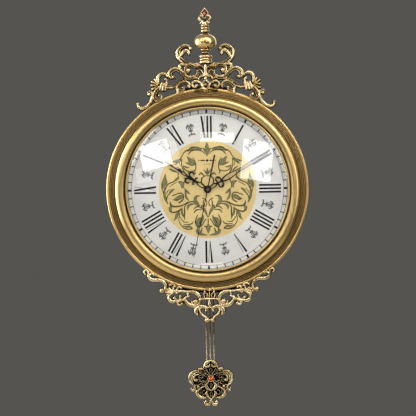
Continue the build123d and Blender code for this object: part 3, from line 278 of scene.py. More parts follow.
def bud(shell, x, z, r, d0, d1, mirror=False, shadow_skirt=0.0):
    """A round knob with a dark rim of painted shadow, as at the end of a scroll."""
    section = [(1.0, 1.0, 0.0, 0.5), (1.0, 1.0, 0.20, 0.0), (1.0, 0.1, 0.34, 0.0), (1.0, 0.0, 0.56, 0.4),
               (0.92, 0.0, 0.80, 0.9), (0.68, 0.0, 1.0, 1.0), (0.35, 0.0, 1.1, 1.0), (HAIR, 0.0, 1.13, 1.0),
               (HAIR, 0.0, 0.0, 0.5)]
    side = -1 if mirror else 1
    steps = 20
    rows = []
    for i in range(steps):
        a = math.tau * i / steps
        rows.append([(side * (x + (r * u + shadow_skirt * k) * math.cos(a)), z + (r * u + shadow_skirt * k) * math.sin(a),
                      d0 + (d1 - d0) * v) for u, k, v, m in section])
    shell.rows(rows, [[m for u, k, v, m in section]] * steps, loop=True)


def turned(shell, profile, segments, at=(0.0, 0.0)):
    """Turns a closed profile of (radius, depth, mark) about an axis through the dial plane; a low mark
    blackens as patina and painted shade.
    """
    rows = []
    for i in range(segments):
        a = math.tau * i / segments
        rows.append([(at[0] + r * math.cos(a), at[1] + r * math.sin(a), d) for r, d, m in profile])
    shell.rows(rows, [[m for r, d, m in profile]] * segments, loop=True)


def upright(shell, profile, segments=96):
    """Turns a closed profile of (radius, z, mark) about the finial's axis; a low mark blackens as patina and
    painted shade.
    """
    rows = []
    for i in range(segments):
        a = math.tau * i / segments
        rows.append([(r * math.cos(a), z, FINIAL_D + r * math.sin(a)) for r, z, m in profile])
    shell.rows(rows, [[m for r, z, m in profile]] * segments, loop=True)


# ------------------------------------------------------------------ materials
class Look:
    """One material with short names for its nodes. Noise scales are in features per metre."""

    def __init__(self, name, **values):
        self.material = bpy.data.materials.new(name)
        self.material.use_nodes = True
        self.tree = self.material.node_tree
        self.shader = self.tree.nodes["Principled BSDF"]
        for socket, value in values.items():
            self.shader.inputs[socket.replace("_", " ")].default_value = value

    def node(self, kind, **settings):
        return add_node(self.tree, kind, **settings)

    def link(self, source, target):
        self.tree.links.new(source, target)

    def coordinates(self):
        return self.node("TexCoord").outputs["Object"]

    def noise(self, scale, detail=3.0, stretch=None):
        """Noise between 0 and 1."""
        made = self.node("TexNoise")
        made.inputs["Scale"].default_value = scale
        made.inputs["Detail"].default_value = detail
        source = self.coordinates()
        if stretch:
            mapping = self.node("Mapping")
            mapping.inputs["Scale"].default_value = stretch
            self.link(source, mapping.inputs["Vector"])
            source = mapping.outputs["Vector"]
        self.link(source, made.inputs["Vector"])
        return made.outputs["Fac"]

    def rings(self, scale, detail=2.0):
        """Noise that changes only with the distance from the dial's axis, like turning marks."""
        flat = self.node("VectorMath", operation="MULTIPLY_ADD")
        flat.inputs[1].default_value = (1.0, 0.0, 1.0)
        flat.inputs[2].default_value = (0.0, 0.0, -DIAL_Z)
        self.link(self.coordinates(), flat.inputs[0])
        length = self.node("VectorMath", operation="LENGTH")
        self.link(flat.outputs["Vector"], length.inputs[0])
        made = self.node("TexNoise", noise_dimensions="1D")
        made.inputs["Scale"].default_value = scale
        made.inputs["Detail"].default_value = detail
        self.link(length.outputs["Value"], made.inputs["W"])
        return made.outputs["Fac"]

    def remap(self, value, low, high, to_low, to_high):
        made = self.node("MapRange")
        for socket, number in zip(MAP_RANGE, (low, high, to_low, to_high)):
            made.inputs[socket].default_value = number
        self.link(value, made.inputs["Value"])
        return made.outputs["Result"]

    def spread(self, to_low, to_high, scale, detail=3.0, stretch=None, low=0.3, high=0.7):
        """Noise with its middle range, low to high, carried to another range."""
        return self.remap(self.noise(scale, detail, stretch), low, high, to_low, to_high)

    def maths(self, operation, a, b):
        made = self.node("Math", operation=operation)
        for socket, value in zip(made.inputs, (a, b)):
            if isinstance(value, (int, float)):
                socket.default_value = value
            else:
                self.link(value, socket)
        return made.outputs["Value"]

    def mix(self, factor, a, b):
        """A colour between a and b; each is a colour or a socket."""
        made = self.node("Mix", data_type="RGBA")
        self.link(factor, made.inputs["Factor"])
        for socket, value in ((made.inputs[6], a), (made.inputs[7], b)):
            if isinstance(value, tuple):
                socket.default_value = (*value, 1.0)
            else:
                self.link(value, socket)
        return made.outputs[2]

    def colour(self, source):
        self.link(source, self.shader.inputs["Base Color"])

    def rough(self, source):
        self.link(source, self.shader.inputs["Roughness"])

    def bump(self, height, strength, distance):
        made = self.node("Bump")
        made.inputs["Strength"].default_value = strength
        made.inputs["Distance"].default_value = distance
        self.link(height, made.inputs["Height"])
        self.link(made.outputs["Normal"], self.shader.inputs["Normal"])

    # the blackened-to-bright mark: patina and painted shade in recesses, rubbing on the ridges
    def wear_and_shade(self):
        return self.node("Attribute", attribute_name="wear_and_shade").outputs["Fac"]


MAP_RANGE = ("From Min", "From Max", "To Min", "To Max")
DRAWN = (1.0, 1.0, 0.05)         # stretches noise along a wire
ROD_DARK_Z = DIAL_Z - 0.240        # a pendulum rod is darker above this height
BRIGHT_Z = DIAL_Z - 0.300        # and bright below this one


def add_node(tree, kind, **settings):
    """A new shader node with its settings."""
    made = tree.nodes.new("ShaderNode" + kind)
    for key, value in settings.items():
        setattr(made, key, value)
    return made


def cast_brass(name, dark, bright, patina_and_shade_black, rough):
    """Cast brass, rubbed bright on its ridges and blackened in its recesses and round its scrolls: patina and
    painted shade.
    """
    look = Look(name, Metallic=1.0)
    tone = look.mix(look.spread(0.0, 1.0, 90.0, low=0.35, high=0.65), dark, bright)
    wear_and_shade_level = look.maths("ADD", look.wear_and_shade(), look.spread(-0.08, 0.08, 420.0, 5.0))
    wear_and_shade_level = look.remap(wear_and_shade_level, 0.30, 0.95, 0.0, 1.0)
    # low marks take the blackened tone: patina and painted shade in recesses and round the scrolls
    look.colour(look.mix(wear_and_shade_level, patina_and_shade_black, tone))
    polish = look.remap(wear_and_shade_level, 0.0, 1.0, rough + 0.3, rough)
    look.rough(look.maths("ADD", polish, look.spread(-0.05, 0.07, 650.0)))
    look.bump(look.noise(300.0, 2.0), 0.14, 0.0004)
    return look.material


def spun_brass(name, dark, bright, patina_and_shade_black, rough):
    """Spun and lacquered brass with faint turning marks, blackened in its grooves and creases as patina and
    painted shade.
    """
    look = Look(name, Metallic=1.0, Coat_Weight=0.15, Coat_Roughness=0.12)
    tone = look.mix(look.spread(0.0, 1.0, 7.0, 1.0), dark, bright)
    tone = look.mix(look.remap(look.rings(2600.0), 0.35, 0.65, 0.0, 0.16), tone, dark)
    wear_and_shade_level = look.maths("ADD", look.wear_and_shade(), look.spread(-0.06, 0.06, 240.0, 5.0))
    wear_and_shade_level = look.remap(wear_and_shade_level, 0.06, 0.92, 0.0, 1.0)
    # low marks take the blackened tone: patina and painted shade in grooves and creases
    look.colour(look.mix(wear_and_shade_level, patina_and_shade_black, tone))
    marks = look.maths("MULTIPLY", look.rings(1900.0), 0.10)
    marks = look.maths("ADD", marks, look.spread(0.0, 0.03, 60.0, low=0.42))
    look.rough(look.maths("ADD", marks, look.remap(wear_and_shade_level, 0.0, 1.0, rough + 0.22, rough)))
    look.bump(look.rings(2400.0), 0.06, 0.0002)
    return look.material


def plain_metal(name, dark, bright, rough, scale=300.0, bump=0.12):
    """Machined or plated metal with tone, stain and grain."""
    look = Look(name, Metallic=1.0)
    look.colour(look.mix(look.spread(0.0, 1.0, scale / 4, 4.0), dark, bright))
    look.rough(look.spread(rough - 0.08, rough + 0.12, scale, 4.0, low=0.25, high=0.75))
    look.bump(look.noise(scale * 3), bump, 0.0002)
    return look.material


def fading_metal(name, dark, bright, rough):
    """Drawn wire, darker at the top and lighter towards its lower end."""
    look = Look(name, Metallic=1.0)
    axes = look.node("SeparateXYZ")
    look.link(look.coordinates(), axes.inputs[0])
    height = look.maths("ADD", axes.outputs["Z"], look.spread(-0.012, 0.012, 260.0))
    look.colour(look.mix(look.remap(height, BRIGHT_Z, ROD_DARK_Z, 1.0, 0.0), dark, bright))
    look.rough(look.spread(rough - 0.06, rough + 0.12, 500.0, 4.0, DRAWN, low=0.25, high=0.75))
    look.bump(look.noise(1500.0, 3.0, DRAWN), 0.1, 0.0002)
    return look.material


def plastic(name, dark, bright, rough, grain=2600.0, bump=0.25):
    """Moulded plastic with a spark-eroded grain and faint flow marks."""
    look = Look(name)
    look.colour(look.mix(look.spread(0.0, 1.0, 35.0, 5.0), dark, bright))
    look.rough(look.spread(rough - 0.08, rough + 0.1, 160.0, 5.0))
    look.bump(look.noise(grain, 2.0), bump, 0.00015)
    return look.material


def dial_paint(name, dark, bright, rough, metallic, grain):
    """Fine brushed and lacquered dial metal."""
    look = Look(name, Metallic=metallic)
    cloud = look.spread(0.0, 0.6, 22.0, 4.0, low=0.35, high=0.65)
    speck = look.spread(0.0, 0.4, grain, low=0.35)
    look.colour(look.mix(look.maths("ADD", cloud, speck), bright, dark))
    look.rough(look.spread(rough - 0.08, rough + 0.1, grain, 2.0))
    look.bump(look.noise(grain * 1.5, 2.0), 0.12, 0.0001)
    return look.material


def ink(name, thin, full, rough=0.45):
    """Printed lacquer that covers unevenly."""
    look = Look(name, Specular_IOR_Level=0.06)
    look.colour(look.mix(look.spread(0.0, 1.0, 700.0, 4.0, low=0.4, high=0.75), full, thin))
    look.rough(look.spread(rough - 0.1, rough + 0.12, 500.0))
    look.bump(look.noise(1800.0, 2.0), 0.1, 0.0001)
    return look.material


def enamel(name, colour, sheen):
    """Stoved enamel with a gloss coat and faint dust."""
    look = Look(name, Coat_Weight=0.2, Coat_Roughness=0.15, Specular_IOR_Level=0.2)
    look.colour(look.mix(look.spread(0.0, 0.7, 900.0, 5.0, low=0.5, high=0.8), colour, sheen))
    look.rough(look.spread(0.28, 0.42, 600.0))
    look.bump(look.noise(1500.0, 2.0), 0.08, 0.0001)
    return look.material


def glass(name):
    """Clear glass with faint smears and a slow ripple. Rays to the lamps pass through it."""
    look = Look(name, IOR=1.47, Transmission_Weight=1.0)
    look.colour(look.mix(look.noise(12.0), (0.975, 0.985, 0.98), (1.0, 1.0, 1.0)))
    look.rough(look.spread(0.0, 0.03, 30.0, 5.0, low=0.35, high=0.8))
    look.bump(look.noise(14.0, 1.0), 0.02, 0.0006)
    clear = look.node("BsdfTransparent")
    clear.inputs["Color"].default_value = (0.94, 0.95, 0.945, 1.0)
    mixed = look.node("MixShader")
    look.link(look.node("LightPath").outputs["Is Shadow Ray"], mixed.inputs[0])
    look.link(look.shader.outputs[0], mixed.inputs[1])
    look.link(clear.outputs[0], mixed.inputs[2])
    look.link(mixed.outputs[0], look.tree.nodes["Material Output"].inputs["Surface"])
    return look.material


def stone(name, deep, glow):
    """Polished stone with paler flaws inside."""
    look = Look(name, IOR=1.58, Coat_Weight=0.5, Coat_Roughness=0.04)
    look.colour(look.mix(look.spread(0.0, 1.0, 330.0, 4.0, low=0.4, high=0.66), deep, glow))
    look.rough(look.spread(0.03, 0.1, 500.0))
    return look.material


def winding(name, dark, bright):
    """Fine wire wound in a coil, seen as close turns."""
    look = Look(name, Metallic=0.9)
    wave = look.node("TexWave", wave_type="RINGS", rings_direction="Y")
    wave.inputs["Scale"].default_value = 900.0
    wave.inputs["Distortion"].default_value = 0.6
    look.link(look.coordinates(), wave.inputs["Vector"])
    look.colour(look.mix(wave.outputs["Fac"], dark, bright))
    look.rough(look.spread(0.3, 0.5, 900.0))
    look.bump(wave.outputs["Fac"], 0.4, 0.0002)
    return look.material


# Each look: its maker, then what the maker takes, mostly two tones and a roughness.
LOOK_TABLE = {
    "antique_brass": (plain_metal, (0.40, 0.28, 0.12), (0.66, 0.49, 0.24), 0.34),
    "bezel_brass": (spun_brass, (0.60, 0.405, 0.15), (0.76, 0.53, 0.21), (0.05, 0.028, 0.010), 0.26),
    "turned_brass": (spun_brass, (0.50, 0.36, 0.16), (0.76, 0.58, 0.30), (0.03, 0.02, 0.01), 0.25),
    "polished_ball": (spun_brass, (0.64, 0.45, 0.18), (0.86, 0.64, 0.30), (0.08, 0.045, 0.015), 0.22),
    "crest_brass": (cast_brass, (0.46, 0.33, 0.15), (0.84, 0.68, 0.40), (0.010, 0.008, 0.006), 0.25),
    "polished_brass": (plain_metal, (0.66, 0.48, 0.20), (0.82, 0.62, 0.30), 0.2, 120.0, 0.05),
    "inner_ring_gold": (plain_metal, (0.66, 0.50, 0.26), (0.85, 0.68, 0.38), 0.3),
    "rod_bronze": (fading_metal, (0.12, 0.075, 0.03), (0.72, 0.60, 0.38), 0.30),
    "housing_plastic": (plastic, (0.014, 0.014, 0.015), (0.028, 0.028, 0.029), 0.5),
    "movement_plastic": (plastic, (0.020, 0.020, 0.021), (0.035, 0.035, 0.037), 0.42, 3400.0),
    "white_plastic": (plastic, (0.72, 0.71, 0.66), (0.84, 0.83, 0.79), 0.38, 1200.0, 0.08),
    "clear_glass": (glass,),
    "seal_rubber": (plastic, (0.012, 0.012, 0.012), (0.030, 0.030, 0.030), 0.75, 1500.0, 0.4),
    "dial_silver": (dial_paint, (0.52, 0.50, 0.472), (0.625, 0.605, 0.575), 0.55, 0.0, 900.0),
    "dial_champagne": (dial_paint, (0.50, 0.36, 0.138), (0.66, 0.495, 0.21), 0.5, 0.05, 1100.0),
    "hand_black": (enamel, (0.003, 0.003, 0.003), (0.012, 0.012, 0.012)),
    "steel": (plain_metal, (0.44, 0.44, 0.45), (0.62, 0.62, 0.62), 0.3, 500.0, 0.08),
    "zinc_steel": (plain_metal, (0.38, 0.38, 0.36), (0.58, 0.57, 0.53), 0.38, 260.0, 0.15),
    "gear_brass": (plain_metal, (0.55, 0.40, 0.16), (0.74, 0.56, 0.26), 0.28, 700.0, 0.08),
    "circuit_green": (plastic, (0.01, 0.07, 0.025), (0.02, 0.12, 0.045), 0.35, 800.0, 0.1),
    "component_black": (plastic, (0.010, 0.010, 0.010), (0.022, 0.022, 0.022), 0.6),
    "copper_wire": (winding, (0.20, 0.06, 0.02), (0.60, 0.25, 0.10)),
    "magnet_grey": (plain_metal, (0.14, 0.14, 0.15), (0.24, 0.24, 0.25), 0.45, 700.0, 0.3),
    "cell_jacket": (enamel, (0.02, 0.09, 0.06), (0.06, 0.16, 0.11)),
    "gem_amber": (stone, (0.34, 0.012, 0.002), (1.0, 0.24, 0.01)),
    "gem_red": (stone, (0.16, 0.006, 0.002), (0.55, 0.06, 0.01)),
    "print_black": (ink, (0.009, 0.009, 0.009), (0.002, 0.002, 0.002)),
    "print_grey": (ink, (0.20, 0.19, 0.19), (0.075, 0.072, 0.072)),
    "olive_line": (ink, (0.10, 0.092, 0.040), (0.050, 0.047, 0.020)),
    "olive_fill": (ink, (0.25, 0.22, 0.105), (0.145, 0.138, 0.062)),
}
LOOKS = {name: make(name, *values) for name, (make, *values) in LOOK_TABLE.items()}


def dress_frame():
    """Gives every CAD node the look that the record names for it."""
    for row in RECORD["subparts"]:
        node = frame["nodes"][row["node"]]
        look = LOOKS[row["material_slot"]]
        for held in node.material_slots:
            held.material = look
        if not node.material_slots:
            node.data.materials.append(look)


# ------------------------------------------------------------------ bezel and glass
def marked(points, mark):
    """Gives every point of a profile the same mark of patina, painted shade and rubbing."""
    return [(r, d, mark) for r, d in points]


def bezel():
    """Lip, half-round moulding, reeded channel and outer bead, hollow behind."""
    rim_r, wall = 175.0, 2.4
    channel_d = 33.6
    moulding_r, moulding_d, moulding_half = 151.0, 37.0, 9.0
    # the crease of the moulding at the lip is blackened: patina and painted shade
    shade_crease_r, shade_crease_w = 143.4, 4.6       # the moulding is dark where it meets the lip
    back = BEZEL_BACK
    profile = marked([(rim_r, back), (rim_r, 29.0)], 0.7) + marked(arc(172.3, 33.0, 2.75, 0, 168, 12), 1.0)
    # the channel floor between the reeds is blackened: patina and painted shade
    profile += [(169.3, channel_d, 0.0)]
    for r in (167.6, 164.9, 162.2):
        reed = marked(arc(r, channel_d, 1.05, 20, 160, 6), 0.42)
        profile += [(r + 1.3, channel_d, 0.0), *reed, (r - 1.3, channel_d, 0.0)]
    profile += [(160.6, channel_d, 0.0), (160.0, 34.4, 0.0), (160.0, 36.2, 0.35)]
    moulding = arc(moulding_r, moulding_d, moulding_half, 0, 156, 36)
    profile += [(r, d, min(max((r - shade_crease_r) / shade_crease_w, 0.0), 1.0)) for r, d in moulding]
    profile += [(142.5, 40.1, 0.0), (142.1, 40.0, 0.0)]
    profile += marked(arc(140.6, 40.2, 1.5, 0, 180, 8), 0.9)
    profile += marked([(139.0, 38.5), (143.3, 38.5), (143.3, back), (145.6, back), (145.6, moulding_d)], 0.4)
    profile += marked(arc(151.6, moulding_d, 6.0, 180, 0, 10), 0.4)
    profile += marked([(157.6, 31.4), (rim_r - wall, 31.4), (rim_r - wall, back)], 0.4)
    shell = Shell()
    turned(shell, profile, 320)
    boss = marked([(4.0, back), (4.0, 32.0), (1.3, 32.0), (1.3, back)], 0.4)
    for a in screw_angles():
        turned(shell, boss, 24, (SCREW_R * math.cos(a), SCREW_R * math.sin(a)))
    make_piece("bezel_shell", shell, "bezel_brass", "case", ("bezel",))


def screw_angles():
    """Where the bosses stand behind the bezel: six of its own and two for each crest."""
    lug = math.asin(LUG_X / SCREW_R)
    lugs = [math.pi / 2 - lug, math.pi / 2 + lug, -math.pi / 2 - lug, -math.pi / 2 + lug]
    return [math.radians(60 * k) for k in range(6)] + lugs


def dome():
    """Convex glass with a flat rim."""
    back, front = 36.3, 38.5
    span, sag, edge = 139.4, 10.4, 142.8
    radius = (span**2 + sag**2) / (2 * sag)
    steps = 26
    bow = []
    for i in range(steps + 1):
        r = span * (1 - i / steps)
        bow.append((max(r, 0.001), math.sqrt(radius**2 - r**2) - (radius - sag)))
    profile = [(edge, back), (edge - 0.15, front - 0.1), (edge - 0.4, front)]
    profile += [(r, front + rise) for r, rise in bow] + [(r, back + rise) for r, rise in reversed(bow)]
    shell = Shell()
    turned(shell, marked(profile, 1.0), 180)
    make_piece("glass_cover", shell, "clear_glass", "case", ("glass_dome",))


# ------------------------------------------------------------------ castings
# Each scroll: points (x, z) of the right half in dial coordinates, widths along it.
TOP_SCROLLS = [
    ([(26, 243.5), (29, 247.3), (34, 249), (40, 247), (45, 242.5), (47, 237), (46, 230.5), (43, 225),
      (38.5, 221), (33, 218.5), (26, 217.5)], [3.6, 3.2, 3.6, 4.4, 5.2, 6.2, 6.6, 6, 5, 4, 3]),
    ([(44, 229), (40.5, 234), (37, 239), (32.5, 240.5), (29, 238), (28.4, 234)],
      [4, 4.4, 4.8, 4.8, 4.2, 3]),
    ([(30, 216.5), (37, 216), (42, 216.5), (45, 213.5), (43.5, 209.5)], [3, 3.4, 4.2, 4.2, 3.4]),
    ([(0, 210), (4, 210.5), (8, 213), (12, 213), (16, 212), (20, 213.5), (25, 216), (30, 215), (34, 211.5),
      (35.3, 207), (33.6, 203), (30, 202)], [3.4, 3.4, 3.6, 3.8, 4, 4.5, 5, 4.8, 4.2, 3.6, 3.2, 3]),
    ([(10, 215.5), (15, 217), (21, 216.5)], [3.2, 3.2, 2.8]),
    ([(14.5, 204), (13.6, 200.5), (16, 196.8), (21, 194.2), (27, 193.3), (33, 195), (38, 199.5), (42, 204),
      (47, 207.5), (52.5, 208.6), (58, 206.5), (61.5, 202), (62, 197.5), (59, 194.5), (54, 194)],
      [3.2, 4, 4.6, 5.2, 5.4, 5.6, 5.6, 5.4, 5.4, 5.8, 6.2, 6.4, 6.2, 4.8, 3]),
    ([(66, 196.5), (69.5, 200), (75, 201.3), (79.5, 199), (82.2, 195), (82.8, 190.5), (82, 185)],
      [3.4, 3.6, 4.4, 4.8, 4.8, 4.6, 4]),
    ([(67, 190), (68, 186), (68, 182)], [2.8, 2.8, 3.2]),
    ([(67.3, 184), (69.2, 178.3), (70.2, 172.5)], [3.4, 3.8, 3.2]),
    ([(71.5, 183.3), (73.6, 178), (75, 172.5)], [3.4, 3.8, 3.2]),
    ([(76, 184), (78, 178.8), (79.3, 174)], [3.6, 4, 3.4]),
    ([(66.5, 178), (60, 178), (54, 179.6), (48, 183.6), (42, 188), (36, 190.8), (31, 191)],
      [5, 5, 4.8, 4.4, 3.8, 3.2, 2.6]),
    ([(80, 177), (84.5, 173), (88.3, 167), (90, 160.5), (87.4, 156.2), (82.5, 155), (78.4, 158),
      (78.2, 162.4), (81.6, 164)], [4.5, 5.2, 5.6, 5.4, 4.6, 4.2, 3.8, 3.5, 3.2]),
    ([(92, 168), (93, 160), (96, 152), (102, 145.4), (109.6, 142), (116, 143.6), (118, 149)],
      [3.4, 3.8, 4.2, 4.8, 4.6, 3.8, 3]),
    ([(93, 167), (96, 170.6), (100.4, 169.4)], [2.4, 2.4, 2.2]),
    ([(29.3, 177.5), (29.2, 181.6), (32.6, 185), (38.2, 185.9), (43.6, 183.6), (47.6, 179.4), (49, 174.5),
      (46.5, 171), (42, 170.6), (39, 173), (38.6, 176.6)], [4, 4.6, 5, 4.8, 5, 5, 4.6, 4.2, 3.8, 3.4, 3.2]),
    ([(48.5, 174), (49, 166)], [3.4, 3.6]),
    ([(4, 180), (10, 184.5), (14.5, 187), (19, 187), (22.6, 184), (23.4, 180.2), (20.6, 177.3),
      (16.5, 177.8), (15, 180)], [2.6, 3.2, 3.6, 3.8, 3.6, 3.4, 3.4, 3.2, 2.8]),
    ([(24, 182), (29, 180)], [2.4, 2.8]),
    ([(4, 196), (9, 195), (12, 191)], [3.2, 3, 3.4]),
    ([(12, 192), (20, 194)], [2.6, 2.8]),
    ([(2, 196.5), (5.4, 202), (8.5, 206.6), (12.6, 206)], [2.6, 2.2, 2.2, 2]),
    ([(0, 189), (4.5, 185), (7.5, 181), (4.5, 177), (0, 173)], [3, 2.8, 3.2, 2.8, 3.2]),
    ([(0, 171), (8, 173), (14, 171), (20, 170.5)], [6, 4.6, 3.6, 2.6]),
]
TOP_RAYS = [
    ([(83, 182.5), (85.5, 186.7), (88, 191)], [1.2, 2.8, 3.8]),
    ([(83, 182.5), (88, 184.7), (92.7, 187)], [1.2, 2.8, 4]),
    ([(83, 182), (88, 181.5), (93.4, 181)], [1.2, 2.8, 4]),
    ([(82, 181), (87, 177.6), (92.3, 174.6)], [1.2, 2.8, 4]),
]
TOP_BUDS = [(29.6, 206, 3.9), (25.4, 243.6, 2.9), (43.6, 211, 2.9), (64.3, 196.6, 2.6), (68.8, 190.8, 2.9),
            (13.8, 204.6, 2.2), (12, 190.8, 2), (98, 165.8, 3.1), (16, 179, 2.6), (39.2, 176, 2.2),
            (57, 194.6, 2.6), (80.6, 163.4, 2.4), (6.8, 197, 1.7), (117.6, 149.4, 2.6)]

BOTTOM_SCROLLS = [
    ([(94.6, -145.6), (98.4, -143.8), (103, -146)], [2.4, 3.4, 2.6]),
    ([(109.5, -145), (112.4, -140.8), (109.4, -137.4), (105.4, -139.4), (104.4, -144.6), (103.4, -150.4),
      (98.6, -154.2), (91, -154.8), (84.5, -155.2), (79, -157.8), (76, -162.5), (75, -168), (76.5, -172)],
      [1.8, 2.4, 2.6, 2.8, 3.2, 4.4, 5.2, 5, 4.6, 4.6, 4.4, 4, 3.4]),
    ([(63, -175), (68.8, -169.6)], [2.6, 3.2]),
    ([(63.5, -176), (72.7, -171.6)], [2.6, 3.6]),
    ([(64, -177), (75, -175.6)], [2.6, 3.6]),
    ([(64, -178), (72.3, -180.6)], [2.6, 3.4]),
    ([(65, -178), (69.2, -182.6), (69.8, -188), (66.6, -191.8), (61.8, -192.6), (58.4, -189.8),
      (60.2, -186)], [2.8, 3.4, 4.4, 5, 4.6, 3.8, 3.2]),
    ([(58.6, -166.4), (60.6, -163.2), (64, -162.2), (68, -164.2)], [3.4, 3.6, 3.6, 3.6]),
    ([(48.4, -168.8), (51.4, -167), (54.6, -169), (55.4, -174)], [3.4, 3.4, 3.4, 3]),
    ([(55, -174), (64, -176)], [3.8, 3.8]),
    ([(60, -165), (62, -170), (63, -176)], [2.8, 2.8, 3.2]),
    ([(57, -178), (52.5, -175), (47.5, -174.8), (40, -175.8), (32, -176), (25.5, -177.2), (20.5, -180.4),
      (17.6, -184.6), (16, -189)], [3.4, 4.2, 3.8, 3.6, 4.2, 5.2, 5.8, 4.8, 3]),
    ([(36, -184), (40.5, -185.6), (44.5, -188.8), (49.5, -190.8), (54, -192.8), (54.4, -196.4),
      (51.4, -198.8), (47.8, -197)], [3.2, 3.8, 3.8, 4, 4.2, 3.8, 3.6, 3.2]),
    ([(50, -183.6), (51.5, -191)], [3.2, 2.8]),
    ([(52, -190), (60, -192)], [3, 3]),
    ([(43, -188.6), (39, -194.5), (34.6, -198.6), (28, -201), (20, -202.4)], [3.6, 5, 5.2, 4.4, 3.4]),
    ([(38, -185), (37, -180), (36, -176)], [2.4, 2.4, 2.8]),
    ([(17, -189), (17, -194), (19.6, -198.6), (24.6, -200.2), (29.2, -198.2), (30.8, -194)],
      [3.4, 3.8, 4, 4, 3.4, 2.6]),
    ([(8, -177.4), (9.6, -181.6), (8.2, -187)], [2, 2.4, 2.2]),
    ([(0, -175.6), (2.2, -171.4), (5.6, -170.2), (8.2, -173.6)], [1.6, 2.2, 2.4, 2.4]),
    ([(6.4, -178), (3.2, -181.6), (4.4, -186.6)], [1.8, 2, 1.8]),
    ([(0, -177.6), (0, -186)], [1.6, 1.6]),
    ([(0, -188.6), (8, -188.6), (14.4, -189.2)], [3.2, 3, 3.2]),
    ([(6.4, -209.4), (5.4, -205.6), (8.6, -202.6), (13.6, -201.8), (18.8, -203.2), (22.6, -206.8),
      (23.4, -211.6), (21, -216)], [3, 4.2, 5, 5.2, 5.9, 6.2, 5.4, 2.4]),
    ([(15.6, -203), (17, -209.6), (13.4, -215.4), (8.4, -219.4), (4.6, -223)], [2.6, 3, 3.2, 3.2, 3]),
    ([(0, -225.3), (5, -225.3)], [2.4, 2.4]),
]
BOTTOM_BUDS = [(81.6, -173.4, 4.5), (24.2, -193.4, 4.9), (14.8, -189.2, 2.9), (8, -176.4, 2.3),
               (47.6, -196.4, 3), (50, -183.4, 2.5), (5.2, -225.3, 4.2), (6.6, -209, 2.1),
               (60.8, -186.6, 2.6), (59, -166, 2.4), (48.8, -168.6, 2.3), (57.6, -173.4, 2.7),
               (94.4, -145.8, 1.8)]

BOB_SCROLLS = [
    ([(0.4, -298.2), (4.4, -300.4), (8.2, -303.8), (11, -308)], [2.2, 4.6, 4.8, 2.4]),
    ([(1.6, -305), (2.6, -308.4), (6.4, -309.4), (11, -308.8)], [1.6, 2.8, 3.2, 2]),
    ([(13.6, -313.6), (17.2, -312.6), (20.4, -312.9)], [2.4, 4.2, 3]),
    ([(12, -309.6), (12.4, -312.6)], [2, 2]),
    ([(20.4, -314), (21.6, -317), (22, -319)], [1.8, 1.6, 1.8]),
    ([(20, -319.6), (24.4, -317.6), (29, -318.4), (33.2, -321.8), (35.4, -326.8), (35.6, -332),
      (34, -336.8), (30.8, -340.4)], [2.2, 4.2, 5.4, 6.2, 6.4, 5.8, 4.4, 2.6]),
    ([(21.6, -322.6), (26, -323.2), (28.8, -326.6), (29, -331), (26.8, -333.8), (24.4, -332.4)],
      [1.8, 2.6, 3, 3, 2.6, 2.2]),
    ([(9.6, -311.6), (6.8, -316), (3.4, -321), (1.6, -325)], [1.2, 1.6, 1.5, 1.6]),
    ([(3.4, -325), (8.6, -321.8), (14.4, -320.2), (21, -320.2)], [1.6, 1.4, 1.3, 1.5]),
    ([(5.4, -331.5), (9.4, -335.6), (13, -333.6), (17, -335)], [1.3, 1.3, 1.7, 1.2]),
    ([(12, -336), (17.4, -338.6), (22, -341)], [1.3, 1.6, 1.4]),
    ([(19.6, -327.6), (16, -329), (13.6, -327), (15.6, -324.6)], [1.2, 1.3, 1.3, 1.2]),
    ([(24, -340.6), (27.4, -341.4), (30, -341)], [1.8, 2, 1.8]),
    ([(29.6, -341.4), (28.6, -345.8), (30, -350), (33, -350.4), (34.4, -346.6)], [2.2, 3, 3.6, 3.2, 2]),
    ([(3.8, -335), (7.2, -339.4), (8.6, -343), (5.8, -347.6), (0.6, -351)], [1.4, 3.2, 4.8, 4.6, 1.8]),
    ([(10.6, -343), (14.8, -344.6), (19, -347.6), (22.6, -351)], [1.4, 2.2, 2.6, 1.8]),
    ([(21.6, -349.4), (24.4, -352.6), (24, -357.4), (20, -361.4), (14.4, -363.2), (9.6, -363.4)],
      [1.8, 3.8, 4.6, 4.6, 3.6, 2]),
    ([(24, -351), (27, -350), (29.4, -347)], [1.6, 2, 1.8]),
    ([(6.6, -352.6), (7.8, -356.6), (5.6, -361.2), (0.4, -366.4)], [2.4, 4.4, 3.2, 1.8]),
    ([(0, -366), (1.8, -371.4), (4.8, -375.4), (8.6, -375.4), (10.6, -372), (9.4, -369.2)],
      [1.8, 3, 4.4, 4.2, 3.2, 2]),
]
BOB_BUDS = [(22.4, -343.6, 2.4), (25, -331.4, 1.8), (34.2, -346.6, 1.5), (8.2, -370.6, 1.7),
            (12, -309.4, 1.5), (17.2, -312.8, 1.6), (19.6, -327.6, 1), (17, -335, 1.1)]
